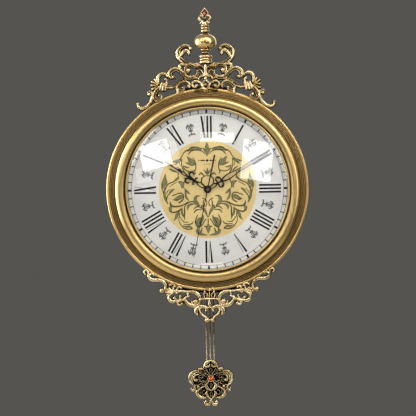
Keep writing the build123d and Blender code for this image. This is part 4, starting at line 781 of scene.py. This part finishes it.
BOB_FILIGREE = [
    ([(8, -314.6), (11.6, -317), (9.6, -319.6), (7.4, -318)], [1.2, 1.5, 1.4, 1.1]),
    ([(14, -316.4), (17.6, -317.6), (16.4, -314.6)], [1.2, 1.5, 1.2]),
    ([(0, -312), (2.4, -315.4), (0, -319.6)], [1.2, 1.6, 1.2]),
    ([(9, -326.6), (12.4, -324), (16.6, -323.6), (20.6, -325.4), (22, -329)], [1.1, 1.4, 1.4, 1.4, 1.2]),
    ([(22.4, -336.4), (18.6, -333), (21.4, -330.6), (24, -335)], [1.2, 1.5, 1.3, 1.2]),
    ([(10, -339), (13.6, -340.6), (16.4, -343)], [1.2, 1.5, 1.2]),
    ([(26.4, -345), (23.6, -347.4), (20.4, -346)], [1.2, 1.6, 1.2]),
    ([(11, -350), (14.6, -352), (15.6, -356.4), (12, -358.6), (10.4, -355.6)], [1.4, 1.8, 1.8, 1.6, 1.3]),
    ([(17.4, -350.6), (19.6, -354), (18.4, -358)], [1.2, 1.6, 1.2]),
    ([(0, -338), (1.8, -342.4), (0, -347)], [1.2, 1.6, 1.2]),
    ([(0, -354), (2.4, -357.6), (0, -362)], [1.2, 1.6, 1.2]),
]
# Recessed plate between the bob's scrolls, right half, blackened as painted shadow
BOB_SHADOW_PLATE = [(0, -299), (9, -304.6), (12.6, -310.6), (20, -314.4), (24, -318.4), (31.6, -321.4), (35, -329),
           (33.4, -337), (29.4, -342), (27.6, -349.6), (24, -357), (17, -362.4), (8, -363), (4.4, -366.4),
           (0, -369.6)]
RIBS_FROM = 4.9        # scrolls at least this wide carry two ridges


def cast(shell, scrolls, buds, depth, shadow_skirt, fuller, step=1.0, ribs_from=RIBS_FROM, dull_below=0.0):
    """Both halves of a casting; each scroll stands a little higher or lower than its neighbours."""
    back, front = depth
    for points, widths in scrolls:
        top = front - RNG.uniform(0.0, step)
        section = DOUBLE if max(widths) >= ribs_from else SINGLE
        if max(widths) < dull_below:
            section = DULL
        both(shell, points, [fuller * w for w in widths], back, top, section, shadow_skirt)
    for x, z, r in buds:
        for mirror in (False, True):
            bud(shell, x, z, r, back, front, mirror, shadow_skirt)


def shade_web(shell, clock_deg, half_angle):
    """Curved strip behind a crest, round the bezel's edge, blackened on its face as painted shade."""
    half = math.degrees(half_angle)
    sector(shell, SHADE_WEB_R, (clock_deg - half, clock_deg + half), 48, CREST_BACK, CREST_BACK + 3.0, 0.5, 0.05)


def lugs(shell, side):
    """Straps from a crest to its two screws behind the bezel. side is 1 for the top, -1 for the bottom."""
    thick, wear_and_shade_level = 2.5, 0.3
    screw_z = math.sqrt(SCREW_R**2 - LUG_X**2) * side
    reach = math.sqrt(179.0**2 - LUG_X**2) * side
    near = math.sqrt(176.2**2 - (LUG_X - LUG_HALF_W)**2) * side
    steps = 16
    for x in (-LUG_X, LUG_X):
        left, right = x - LUG_HALF_W, x + LUG_HALF_W
        foot = [(left, reach)]
        for i in range(steps + 1):
            a = math.pi * i / steps
            foot.append((x - LUG_HALF_W * math.cos(a), screw_z - LUG_HALF_W * math.sin(a) * side))
        foot.append((right, reach))
        shell.prism(foot, LUG_BACK, LUG_BACK + thick, wear_and_shade_level)
        riser = [(left, near), (left, reach), (right, reach), (right, near)]
        shell.prism(riser, LUG_BACK + thick - 0.1, CREST_BACK + 1.0, wear_and_shade_level)


def top_crest():
    """Pierced casting over the case: scrolls, a leaf fan at each end and a drop under the finial."""
    shell = Shell()
    cast(shell, TOP_SCROLLS, TOP_BUDS, (CREST_BACK, CREST_FRONT), shadow_skirt=0.8, fuller=1.38)
    cast(shell, TOP_RAYS, [], (CREST_BACK, CREST_FRONT - 0.3), shadow_skirt=0.8, fuller=1.1)
    drop = [(0, 215), (0, 211), (0, 206), (0, 201), (0, 197)]
    sweep(shell, drop, [4.4, 7.4, 5.6, 6.4, 8.4], CREST_BACK, CREST_FRONT + 0.6, SINGLE, shadow_skirt=0.5)
    bud(shell, 0, 191.6, 3.4, CREST_BACK, CREST_FRONT)
    bud(shell, 0, 181.0, 2.4, CREST_BACK, CREST_FRONT - 1.0)
    shade_web(shell, 0.0, 0.30)
    lugs(shell, 1)
    make_piece("top_crest_casting", shell, "crest_brass", "case", ("top_crest",))


def bottom_crest():
    """Pierced casting under the case, with a heart below its small lattice."""
    shell = Shell()
    depth = (CREST_BACK, CREST_FRONT)
    cast(shell, BOTTOM_SCROLLS, BOTTOM_BUDS, depth, shadow_skirt=0.8, fuller=1.36, ribs_from=8.0)
    drop = [(0, -190), (0, -194), (0, -198.6), (0, -203)]
    sweep(shell, drop, [2.6, 4.6, 6.8, 1.6], CREST_BACK, CREST_FRONT, SINGLE, shadow_skirt=0.5)
    sweep(shell, [(-5, -203.4), (5, -203.4)], [2.6, 2.6], CREST_BACK, CREST_FRONT - 2.0, SINGLE, shadow_skirt=0.3)
    shade_web(shell, 180.0, 0.34)
    lugs(shell, -1)
    make_piece("bottom_crest_casting", shell, "crest_brass", "case", ("bottom_crest",))


GEM_AT = (0.0, -329.5)


def bob():
    """Scrolled casting on a thin plate blackened as painted shadow, with low filigree between the scrolls."""
    plate_t = 0.9
    shell = Shell()
    depth = (BOB_BACK, BOB_FRONT)
    cast(shell, BOB_SCROLLS, BOB_BUDS, depth, shadow_skirt=0.6, fuller=1.24, step=0.6, dull_below=2.5)
    for half in (1, -1):
        # the plate's face is fully blackened: painted shadow between the scrolls
        shell.prism([(half * x, z) for x, z in BOB_SHADOW_PLATE], BOB_BACK, BOB_BACK + plate_t, 0.0, 0.5)
    for points, widths in BOB_FILIGREE:
        both(shell, points, widths, BOB_BACK, BOB_BACK + 2.9, DULL, shadow_skirt=0.3)
    seat = [(6.6, 0.0), (6.6, 3.0), (6.0, 4.2), (4.0, 4.2), (HAIR, 4.2), (HAIR, 0.0)]
    turned(shell, [(r, BOB_BACK + d, 0.15 if d else 0.5) for r, d in seat], 48, GEM_AT)
    make_piece("bob_casting", shell, "crest_brass", "pendulum", ("pendulum_bob",))


def round_gem(r, a):
    """A point at radius r and angle a about the bob's stone."""
    return (GEM_AT[0] + r * math.cos(a), GEM_AT[1] + r * math.sin(a))


def milled_setting():
    """Collet round the stone with a beaded edge and four claws."""
    beads, claws = 18, 4
    front = depths("gem_setting")[1]
    shell = Shell()
    collar = [(6.0, BOB_FRONT), (6.0, front - 0.7), (5.6, front - 0.1), (5.0, front), (4.6, front - 0.3),
              (4.5, BOB_FRONT)]
    turned(shell, marked(collar, 0.8), 48, GEM_AT)
    for k in range(beads):
        bud(shell, *round_gem(5.75, math.tau * k / beads), 0.62, BOB_FRONT + 0.4, front)
    for k in range(claws):
        a = math.tau * (k + 0.5) / claws
        sweep(shell, [round_gem(5.2, a), round_gem(3.5, a)], [1.1, 0.7], front - 0.5, front + 0.55, SINGLE)
    make_piece("stone_setting", shell, "crest_brass", "pendulum", ("gem_setting",))


def cut_stone(name, look, at, half_w, half_h, base, height, sides, body, node):
    """Faceted stone: girdle, two rows of facets and a table."""
    girdle = 0.3 * height
    crown = girdle + 0.62 * (height - girdle)
    shell = Shell()
    for scale, rise, twist in ((0.97, 0.0, 0.0), (1.0, girdle, 0.0), (0.74, crown, 0.5), (0.42, height, 0.0)):
        reach = scale * math.cos(math.pi / sides) ** (1 if twist else 0)
        for k in range(sides):
            a = math.pi / 2 + math.tau * (k + twist) / sides
            shell.points.append((at[0] + half_w * reach * math.cos(a), at[1] + half_h * reach * math.sin(a),
                                 base + rise))
    shell.wear_and_shade = [1.0] * len(shell.points)
    foot, waist, shoulder, table = (level * sides for level in range(4))
    shell.faces.append(tuple(range(sides)))
    for k in range(sides):
        m = (k + 1) % sides
        shell.faces += [(foot + k, foot + m, waist + m, waist + k), (waist + k, waist + m, shoulder + k),
                        (shoulder + k, waist + m, shoulder + m), (shoulder + k, table + m, table + k),
                        (shoulder + k, shoulder + m, table + m)]
    shell.faces.append(tuple(table + k for k in reversed(range(sides))))
    make_piece(name, shell, look, body, (node,), crease=1.0)


# ------------------------------------------------------------------ finial
ROD_HOLE = 2.05
FINIAL_STONE_AT = (0.0, 303.2)


def turned_up(name, outline, shade_below_r, look, node):
    """A turned piece of the finial from a smooth outline of (radius, z), its mark set by radius: the narrow
    grooves are blackened as patina and painted shade.
    """
    line = smooth_line(outline, 5)
    profile = [(max(r, ROD_HOLE), z, 1.0 if r > shade_below_r else 0.0) for r, z in line]
    shell = Shell()
    upright(shell, profile)
    make_piece(name, shell, look, "case", (node,), crease=50.0)


def finial():
    """Four turned pieces stacked over the top crest."""
    plinth = [(2, 217), (10.6, 217), (11.4, 217.8), (11.5, 219.4), (11.1, 220.8), (10.3, 221.5),
              (10.8, 222.2), (11.1, 223.6), (10.8, 225), (10.2, 225.8), (10.9, 226.5), (11.8, 227.6),
              (11.9, 228.9), (11.4, 230.2), (9.6, 231), (2, 231)]
    turned_up("turned_plinth", plinth, 10.7, "turned_brass", "finial_plinth")
    neck = [(2, 231), (7, 231), (5.4, 232.4), (5, 234), (6.2, 235), (6.4, 236.2), (5.4, 237.2), (5.2, 238),
            (7.6, 238.8), (8.8, 239.9), (8.6, 241.4), (6.6, 242.3), (2, 242.4)]
    turned_up("turned_neck", neck, 5.8, "turned_brass", "finial_neck")
    ball = [(2, 242.4), (8.6, 242.5), (13.8, 243.9), (17.4, 247), (19.1, 251), (19.2, 255.4), (17.9, 259.8),
            (15, 263.3), (10.8, 266), (6.4, 267.6), (2, 268)]
    turned_up("turned_ball", ball, 6.6, "polished_ball", "finial_ball")
    rings = [(2, 268), (6, 268), (5, 269.4), (4.9, 270.6), (6.8, 271.2), (7.6, 272.8), (7.2, 274.4),
             (5.4, 275.2), (5.4, 275.8), (6.6, 276.4), (7.2, 277.8), (6.7, 279.2), (5, 279.8), (5, 280.4),
             (6.2, 281), (6.8, 282.4), (6.4, 283.8), (4.8, 284.6), (2, 285.2)]
    turned_up("turned_collar", rings, 5.6, "turned_brass", "finial_collar")


TOPPER_SCROLLS = [
    ([(0, 312.2), (3.4, 308.4), (5.8, 304.4)], [2.8, 3, 2.2]),
    ([(2.6, 299.6), (7, 299.8), (9.8, 296.4), (8.6, 292.6), (4, 290.2)], [2.6, 3.4, 3.6, 3.4, 3]),
    ([(5.6, 305), (4, 300)], [1.8, 2]),
    ([(0, 294.5), (3, 297.4), (6, 299.4)], [2, 1.7, 1.7]),
    ([(0, 288.4), (6.4, 287.6)], [4.2, 4.6]),
]


def topper():
    """Arrowhead with side scrolls, carved front and back, on a turned foot."""
    half, seat = 2.4, 2.2
    shell = Shell()
    for facing in (1, -1):
        middle, face = FINIAL_D - 0.2 * facing, FINIAL_D + half * facing
        for points, widths in TOPPER_SCROLLS:
            both(shell, points, widths, middle, face, SINGLE, shadow_skirt=0.35)
        for x in (-5.4, 5.4):
            bud(shell, x, 287.8, 1.7, middle, face)
    socket = [(4.2, -seat, 0.0), (4.2, 2.0, 0.2), (HAIR, seat, 0.0), (HAIR, -seat, 0.0)]
    turned(shell, [(r, FINIAL_D + d, mark) for r, d, mark in socket], 24, FINIAL_STONE_AT)
    foot = [(1.3, 285.2, 0.2), (4.5, 285.2, 0.9), (4.6, 287.2, 0.9), (3.4, 289, 0.5), (2.2, 292, 0.2),
            (2.0, 295.6, 0.1), (1.3, 295.6, 0.1)]
    upright(shell, foot, 48)
    make_piece("topper_casting", shell, "crest_brass", "case", ("finial_topper",))


# ------------------------------------------------------------------ dial print
def turned_to(clock_deg, outline):
    """Local (across, radius) points carried to an hour's place."""
    a = math.radians(clock_deg)
    return [(u * math.cos(a) + v * math.sin(a), -u * math.sin(a) + v * math.cos(a)) for u, v in outline]


NUMERALS = ["XII", "I", "II", "III", "IIII", "V", "VI", "VII", "VIII", "IX", "X", "XI"]
ADVANCE = {"I": 6.0, "V": 8.0, "X": 9.0}
NUMERAL_FOOT = 89.0
NUMERAL_TALL = 38.0
THICK = 3.2
THIN = 0.65
PRINT_T = 0.07


def stroke(u_top, u_foot, top_w, foot_w):
    """A straight stroke from the numeral's top to its foot."""
    head = NUMERAL_FOOT + NUMERAL_TALL
    return [(u_top - top_w / 2, head), (u_top + top_w / 2, head),
            (u_foot + foot_w / 2, NUMERAL_FOOT), (u_foot - foot_w / 2, NUMERAL_FOOT)]


def glyph(letter, c):
    """Outlines of one letter, its middle at c."""
    if letter == "I":
        return [stroke(c, c, THICK, THICK)]
    if letter == "V":
        return [stroke(c - 2.6, c + 0.2, THICK + 0.3, 0.9), stroke(c + 3.6, c + 0.5, THIN, THIN)]
    return [stroke(c - 3.0, c + 2.6, THICK + 0.1, THICK + 0.1), stroke(c + 3.4, c - 3.2, THIN, THIN)]


def numerals():
    """Roman chapter ring, each numeral with its foot towards the centre."""
    shell = Shell()
    d0, d1 = DIAL_D - TUCK, DIAL_D + PRINT_T
    for hour, text in enumerate(NUMERALS):
        u = -sum(ADVANCE[c] for c in text) / 2
        for k, letter in enumerate(text):
            u += ADVANCE[letter] / 2
            for order, outline in enumerate(glyph(letter, u)):
                shell.prism(turned_to(30 * hour, outline), d0, d1 + 0.01 * order)
            u += ADVANCE[letter] / 2
    make_piece("dial_numerals", shell, "print_black", "case")


def minute_track():
    """Two fine rings joined by sixty bars, bolder at the hours."""
    shell = Shell()
    d0, d1 = DIAL_D - TUCK, DIAL_D + PRINT_T
    inner, outer = 131.6, 137.8
    for r in (inner, outer):
        sector(shell, (r - 0.33, r + 0.33), (0, 360), 240, d0, d1)
    for minute in range(60):
        half = 0.75 if minute % 5 == 0 else 0.36
        sector(shell, (inner - 0.4, outer + 0.4), (6 * minute - half, 6 * minute + half), 4, d0, d1 + 0.01)
    make_piece("minute_track", shell, "print_black", "case")


MOTIF = [
    ([(-5.4, 97.2), (-3.2, 99), (0, 98.4), (3.2, 99), (5.4, 97.2)], [2.4, 2, 2.4, 2, 2.4]),
    ([(0, 98.2), (0, 104.6)], [2.2, 1.6]),
    ([(-3, 104.8), (0, 105.2), (3, 104.8)], [2, 4.2, 2]),
    ([(-2.2, 106.4), (-3.4, 109), (-2.8, 112.4)], [1.1, 1.5, 1.4]),
    ([(2.2, 106.4), (3.4, 109), (2.8, 112.4)], [1.1, 1.5, 1.4]),
    ([(0, 106.4), (0, 109), (0, 112.6)], [1.4, 3, 1.8]),
    ([(-6.2, 110.6), (-5.5, 113.4), (-3, 114.6), (0, 113.2), (3, 114.6), (5.5, 113.4), (6.2, 110.6)],
      [1.8, 2.4, 3, 2.6, 3, 2.4, 1.8]),
    ([(-2.8, 116.4), (-2.4, 116.6)], [2.2, 2.2]),
    ([(2.8, 116.4), (2.4, 116.6)], [2.2, 2.2]),
]


def motifs():
    """Small crowned flourish between each pair of numerals."""
    shell = Shell()
    for k in range(12):
        angle = 15 + 30 * k
        for points, widths in MOTIF:
            sweep(shell, turned_to(angle, points), widths, DIAL_D - TUCK, DIAL_D + PRINT_T, FLAT, per_span=4)
    make_piece("dial_motifs", shell, "print_grey", "case")


# Arabesque, right half. Leaves are outlined and filled with a paler tone, stems are plain lines.
LEAVES = [
    ([(58.4, -16.6), (52, -14.4), (46, -12.4), (43, -12)], [1, 5.4, 7, 3]),
    ([(74, 4), (74.6, -4), (74, -12), (71.6, -19), (69, -24)], [1.4, 3, 3.8, 2.8, 1]),
    ([(38.6, 1), (38.2, -8), (36.6, -14), (33, -19)], [1.8, 3, 3.2, 1.2]),
    ([(13, -11.4), (18, -11), (21, -14), (21.6, -19), (19, -24), (15.6, -27.6)],
      [1, 2.6, 4.4, 5.4, 5.6, 3]),
    ([(22, -24.6), (28, -25), (32, -26.6), (35, -30.4), (34.4, -35)], [1.2, 2.6, 3.6, 3.4, 0.9]),
    ([(61.6, -28), (65, -31.6), (64, -36.4)], [2.4, 5, 2.4]),
    ([(45, -31), (45.4, -36), (44.4, -42), (41.4, -48)], [1.4, 3.4, 2.8, 0.9]),
    ([(50, -38.4), (53.6, -43), (55.4, -48), (59.4, -53)], [1.8, 4.8, 3.8, 0.8]),
    ([(27.6, -67), (32, -64), (38, -64), (43.6, -61.6)], [1.6, 3.6, 2.8, 1]),
    ([(10.4, -28.6), (6.4, -35), (3.2, -41), (0.8, -48)], [3.6, 4.4, 2.8, 1.2]),
    ([(8.4, -45), (9.2, -50), (12, -56), (13.4, -61), (16.6, -65)], [1.6, 3.6, 3.6, 3.2, 1.6]),
    ([(10.6, -48), (15, -51.6), (17.6, -57), (18, -64)], [1, 5, 6, 2]),
    ([(1.8, -79), (8, -78), (14, -76.4), (19, -73), (20.8, -69)], [1, 2.8, 5, 4.6, 1.2]),
    ([(0, -61), (0, -68), (0, -76)], [3, 7, 1]),
    ([(0, 81), (0, 74), (0, 66), (0, 58)], [1, 5.6, 7, 1.2]),
    ([(10, 69.6), (15, 70.8), (20, 70.9), (25, 70.6), (30, 68.4)], [1.6, 3, 4.4, 3.6, 3]),
    ([(46, 51.4), (52, 49.4), (59.4, 49)], [3.4, 5.2, 1.4]),
    ([(34.4, 57.4), (31, 53), (27.6, 48.6), (24, 44)], [1, 4.4, 8, 5]),
    ([(37.4, 46.8), (33, 45.4), (27, 43)], [1, 3, 3.6]),
    ([(31, 38.4), (36, 38.8), (40.4, 41)], [0.9, 2.8, 1]),
    ([(66.4, 36.8), (60, 33.6), (53, 30.6)], [1, 3.4, 1.4]),
    ([(72.6, 28), (73.6, 20), (74.2, 13), (77.6, 4)], [0.9, 4.4, 8.6, 2.6]),
    ([(50.4, 14), (46, 12.4), (43.4, 8.6), (44.4, 3)], [1.6, 5, 5.6, 1.6]),
    ([(50.4, 21), (54, 17.6), (60, 13.4)], [3, 3.4, 1.6]),
    ([(58, 1.6), (62.4, -1.6), (66, -5.4)], [1.4, 3.8, 1.4]),
    ([(14.4, 25.4), (11, 28.4), (7.6, 25.6), (5, 23.4)], [1.4, 2.8, 2.2, 1]),
    ([(0, 37), (0, 31.4), (0, 26)], [0.9, 3.6, 1.6]),
    ([(30.6, -7.2), (34, -5), (36.6, -1)], [1, 3.2, 2]),
]
STEMS = [
    ([(60.6, -10), (54, -7.4), (48, -5.6), (43.4, -7.2), (41.6, -12), (43.2, -17.4), (47, -20.6),
      (51, -22.4)], [1.4, 1.3, 1.6, 1.6, 1.3, 1.6, 1.9, 1.1]),
    ([(50, -17), (54, -18), (59.4, -16.8)], [1, 1.8, 1]),
    ([(64, -4.6), (68, -8.6), (70.4, -13), (70.8, -19.4)], [1.2, 1.4, 1.3, 0.9]),
    ([(66, 1), (69.4, -2.6), (71, -7)], [0.8, 1.1, 0.8]),
    ([(15.6, -26.6), (22, -21.6), (30, -21), (36, -22.6), (42, -26), (48, -28), (56, -29), (61.4, -28),
      (64.4, -25), (65, -20.6)], [2.4, 1.7, 1.5, 1.5, 1.6, 1.8, 2, 2.2, 2.4, 1]),
    ([(32, -22), (37.6, -25.6), (40.4, -31), (40.4, -38), (41, -45), (40.6, -51.4)],
      [0.9, 1.1, 1.5, 1.9, 2, 0.8]),
    ([(45.6, -32.6), (50, -36), (55, -38), (60, -38.8), (65, -37), (67.4, -32.6)],
      [1.3, 2, 1.9, 1.9, 1.7, 1]),
    ([(50, -38), (49.4, -44), (51, -50.4)], [1.2, 1.3, 0.9]),
    ([(51, -50), (49.6, -56), (46, -62), (41, -66.4), (35, -68.2), (28, -68)],
      [0.9, 1.1, 1.2, 1.4, 1.6, 1]),
    ([(48.6, -47), (45, -52), (41, -55.8), (34, -56)], [0.9, 1.1, 1.3, 0.9]),
    ([(25.8, -55.4), (28.6, -58.8), (35, -60.2), (42, -59.6)], [1, 1.6, 1.3, 0.8]),
    ([(11, -32.6), (15, -30), (20, -30), (25, -34)], [1.2, 1.3, 1.7, 0.9]),
    ([(11, -35), (16, -34.6), (21, -36), (24.4, -40.4)], [1.1, 1.3, 1.9, 0.9]),
    ([(8.4, -15), (5, -16.8), (2.2, -20), (1.8, -25), (4.4, -29.4)], [1.4, 1.1, 1.1, 1.1, 1.3]),
    ([(6.4, -18), (8, -22), (7.4, -27), (9, -30.4)], [1.1, 1.4, 1.7, 2]),
    ([(18, -44), (20.6, -50), (22, -56), (20.4, -61), (18, -65.4)], [1.1, 1.6, 1.7, 1.8, 1.3]),
    ([(3.4, -51), (7, -55.4), (10, -61), (15.4, -65.4)], [1.3, 1.4, 1.3, 1.3]),
    ([(18, -64), (18, -71)], [1.7, 1.7]),
    ([(10.4, -66.4), (12, -71), (14, -75)], [1, 1.9, 2]),
    ([(6.6, -63.6), (3.4, -64.4), (0.6, -62)], [1.1, 1.9, 1.6]),
    ([(0, -50), (0.4, -55), (0, -60)], [0.8, 1, 0.9]),
    ([(6, 69.4), (12, 71.8), (20, 73.6), (27, 73), (30.4, 70), (33, 67)], [0.8, 1.1, 1.2, 1.3, 1.4, 1.7]),
    ([(3.6, 61.4), (8, 66), (14, 68), (20, 68.2), (26, 67.2), (30, 64), (32.4, 60.4)],
      [0.9, 1.3, 1.4, 1.3, 1.3, 1.6, 0.9]),
    ([(32, 68), (36, 67.4), (40, 64), (43, 58.4), (46, 54), (50, 51.8)], [2.6, 1.6, 1.2, 1.2, 1.4, 1.3]),
    ([(5.8, 72), (4.4, 67.6), (1.6, 62)], [0.9, 1.3, 0.9]),
    ([(55.4, 43.8), (52.4, 46.4), (50, 50)], [0.9, 1.9, 1.6]),
    ([(24.6, 55), (21.4, 49.4), (20, 44), (19.8, 38), (21, 33.6), (25, 32)],
      [0.9, 1.3, 1.4, 1.2, 1.5, 1.1]),
    ([(24, 32.4), (30, 31.4), (36, 33), (40, 37), (41.4, 42)], [1.2, 1.3, 1.4, 1.4, 0.9]),
    ([(43.6, 53), (44.2, 45), (43, 38), (40.6, 32), (38, 27)], [0.9, 1.2, 1.3, 1.7, 1.1]),
    ([(46.8, 54), (48, 47), (46, 40)], [0.8, 1, 0.8]),
    ([(52.4, 39.4), (47.6, 36), (44, 32)], [0.9, 1.8, 1.2]),
    ([(50.4, 31), (50.6, 25), (49.4, 20)], [1, 1.2, 1.2]),
    ([(59, 14), (66, 11.4), (70, 8), (73, 2), (75, -4)], [1.3, 1.4, 1.5, 1.5, 1.3]),
    ([(53, 13.4), (60, 9.6), (65, 6)], [0.8, 1, 0.8]),
    ([(78.8, 12), (79, 5), (77, -3), (75.6, -9)], [1.1, 1.2, 1.2, 0.9]),
    ([(0, 23.8), (6, 22.6), (10, 18), (10, 11), (6, 5)], [1, 1.4, 1.9, 1.8, 1.2]),
    ([(5.8, 34), (3.6, 30.4), (1, 26.6)], [0.9, 1.4, 1]),
    ([(20, 27), (21.6, 30), (21, 33.4)], [0.9, 1.4, 1]),
    ([(37, 20), (40, 14), (41.6, 8), (40.6, 2)], [0.9, 1.3, 1.3, 1]),
]


STEM_WEIGHT = 1.4
LEAF_WEIGHT = 1.18
LEAF_EDGE = 1.9            # width taken by a leaf's two dark edges


def arabesque():
    """Printed flowers and stems on the gilt centre: dark outlines with paler leaves inside."""
    lines = Shell()
    fills = Shell()
    base = MEDALLION_D - TUCK
    stem_d, edge_d, fill_d = (MEDALLION_D + lift * PRINT_T for lift in (1.2, 1.0, 1.7))
    for mirror in (False, True):
        for points, widths in STEMS:
            bold = [STEM_WEIGHT * w for w in widths]
            sweep(lines, points, bold, base, stem_d, FLAT, mirror=mirror, per_span=5)
        for points, widths in LEAVES:
            bold = [LEAF_WEIGHT * w for w in widths]
            sweep(lines, points, bold, base, edge_d, FLAT, mirror=mirror, per_span=5)
            inner = [max(w - LEAF_EDGE, 0.12) for w in bold]
            sweep(fills, points, inner, base, fill_d, FLAT, mirror=mirror, per_span=5)
    make_piece("arabesque_lines", lines, "olive_line", "case")
    make_piece("arabesque_fills", fills, "olive_fill", "case")


def flourish():
    """A plain printed lozenge and bars where a maker would sign."""
    shell = Shell()
    d0, d1 = MEDALLION_D - TUCK, MEDALLION_D + PRINT_T
    z = 50.0
    low = z - 6.4
    shell.prism([(0, z + 2.4), (3.0, z), (0, z - 2.4), (-3.0, z)], d0, d1)
    for side in (-1, 1):
        near, far = 4.2 * side, 12.6 * side
        shell.prism([(near, z + 1.3), (far, z + 0.5), (far, z - 0.5), (near, z - 1.3)], d0, d1)
        sweep(shell, [(14.0 * side, z), (14.6 * side, z)], [1.5, 1.5], d0, d1, FLAT)
        sweep(shell, [(3.4 * side, low), (5.6 * side, low)], [0.8, 0.8], d0, d1, FLAT)
    sweep(shell, [(-0.8, low), (0.8, low)], [1.0, 1.0], d0, d1, FLAT)
    make_piece("dial_flourish", shell, "print_black", "case")


# ------------------------------------------------------------------ scene
# World strength below, above and straight in front of the clock
SKY = {"low": 0.015, "high": 0.32, "ahead": 0.12}
PANE_Y = -3.0
# Window panes mirrored in the glass: x, height over the dial's centre, width, height, roll, radiance
PANES = [
    ("pane_left", -0.82, 0.61, 0.49, 0.43, 14, 7.6),
    ("pane_left_low", -1.02, 0.3, 0.24, 0.24, 8, 1.2),
    ("pane_left_side", -0.5, 0.6, 0.13, 0.46, 10, 1.3),
    ("pane_top", 0.17, 0.87, 0.54, 0.17, -2, 3.5),
    ("pane_right", 0.79, 0.5, 0.5, 0.64, -8, 5.4),
]
# Soft boxes aimed at the clock: place, size, radiance
SOFT_BOXES = [
    ("key", (-1.1, -1.3, 0.8), (0.6, 0.8), 5),
    ("upper_right", (0.95, -1.1, 0.8), (0.45, 0.45), 12),
    ("fill", (1.4, -1, 0.1), (0.45, 1.2), 3.2),
    ("left", (-1.5, 0, 0.1), (0.6, 1.4), 12),
    ("left_fill", (-1.4, -1, -0.25), (0.45, 1.2), 2.6),
    ("top", (0.1, -1.1, 1), (1.1, 0.3), 8),
    ("low_front", (-0.4, -1.75, -1.12), (1.2, 0.5), 1.9),
    ("back", (0.5, 1.7, 0.7), (1.6, 1.2), 1.8),
]


def add_object(name, data):
    """A new object in the scene."""
    made = bpy.data.objects.new(name, data)
    bpy.context.scene.collection.objects.link(made)
    return made


def camera():
    """Straight on to the clock, a little below its dial, rolled one degree."""
    seen_w, face_y, drop = 0.72, -0.030, 0.0322
    data = bpy.data.cameras.new("camera")
    data.lens = 90.0
    data.sensor_width = 36.0
    made = add_object("camera", data)
    made.location = (0.0001, face_y - seen_w * data.lens / data.sensor_width, DIAL_Z - drop)
    made.rotation_euler = (math.pi / 2, math.radians(1.0), 0.0)
    bpy.context.scene.camera = made


def lamp(name, at, aim, size, radiance):
    """A rectangular soft box. Radiance is how bright its face is."""
    data = bpy.data.lights.new(name, "AREA")
    data.shape = "RECTANGLE"
    data.size, data.size_y = size
    data.energy = radiance * math.pi * size[0] * size[1]
    made = add_object(name, data)
    made.location = at
    made.rotation_euler = (Vector(aim) - Vector(at)).to_track_quat("-Z", "Y").to_euler()
    made.visible_camera = False
    return made


def studio():
    """Soft light from all round: bright above, dim below and dim straight ahead, grey to the camera."""
    world = bpy.data.worlds.new("studio")
    world.use_nodes = True
    tree = world.node_tree
    tree.nodes.clear()

    def ramp(socket, low, high, to_low, to_high):
        made = add_node(tree, "MapRange", interpolation_type="SMOOTHSTEP")
        for name, number in zip(MAP_RANGE, (low, high, to_low, to_high)):
            made.inputs[name].default_value = number
        tree.links.new(socket, made.inputs["Value"])
        return made.outputs["Result"]

    axes = add_node(tree, "SeparateXYZ")
    tree.links.new(add_node(tree, "TexCoord").outputs["Generated"], axes.inputs[0])
    strength = add_node(tree, "Math", operation="MULTIPLY")
    tree.links.new(ramp(axes.outputs["Z"], -0.75, 0.85, SKY["low"], SKY["high"]), strength.inputs[0])
    tree.links.new(ramp(axes.outputs["Y"], -0.95, -0.72, SKY["ahead"], 1.0), strength.inputs[1])
    soft = add_node(tree, "Background")
    soft.inputs["Color"].default_value = (1.0, 0.985, 0.96, 1.0)
    tree.links.new(strength.outputs[0], soft.inputs["Strength"])
    seen = add_node(tree, "Background")
    seen.inputs["Color"].default_value = (0.0908, 0.0887, 0.0803, 1.0)
    mixed = add_node(tree, "MixShader")
    tree.links.new(add_node(tree, "LightPath").outputs["Is Camera Ray"], mixed.inputs[0])
    tree.links.new(soft.outputs[0], mixed.inputs[1])
    tree.links.new(seen.outputs[0], mixed.inputs[2])
    tree.links.new(mixed.outputs[0], add_node(tree, "OutputWorld").inputs[0])
    bpy.context.scene.world = world


def lights():
    """Window panes that the glass mirrors, and soft boxes round the clock."""
    for name, x, z, w, h, roll, radiance in PANES:
        pane = lamp(name, (x, PANE_Y, DIAL_Z + z), (x, 0.0, DIAL_Z + z), (w, h), radiance)
        pane.rotation_euler.rotate_axis("Z", math.radians(roll))
    for name, at, size, radiance in SOFT_BOXES:
        lamp(name, at, (0.0, -0.05, DIAL_Z), size, radiance)


def floor():
    """Pale painted floor, a quarter of a metre below the clock."""
    half = 1.1
    z = CAD_BOX[0].z - 0.25
    mesh = bpy.data.meshes.new("floor")
    corners = [(-half, -half, z), (half, -half, z), (half, half, z), (-half, half, z)]
    mesh.from_pydata(corners, [], [(0, 1, 2, 3)])
    look = Look("floor_paint")
    look.colour(look.mix(look.spread(0.0, 1.0, 6.0), (0.46, 0.455, 0.44), (0.52, 0.51, 0.495)))
    look.rough(look.spread(0.6, 0.8, 40.0))
    mesh.materials.append(look.material)
    add_object("floor", mesh)


dress_frame()
camera()
studio()
lights()
floor()
bezel()
dome()
top_crest()
bottom_crest()
bob()
milled_setting()
cut_stone("bob_stone", "gem_amber", GEM_AT, 4.4, 4.4, BOB_FRONT, 3.9, 10, "pendulum", "bob_gem")
cut_stone("finial_stone", "gem_red", FINIAL_STONE_AT, 3.7, 4.4, FINIAL_D + 2.2, 2.2, 4, "case", "finial_gem")
finial()
topper()
numerals()
minute_track()
motifs()
arabesque()
flourish()
bpy.context.scene.view_settings.view_transform = "Standard"
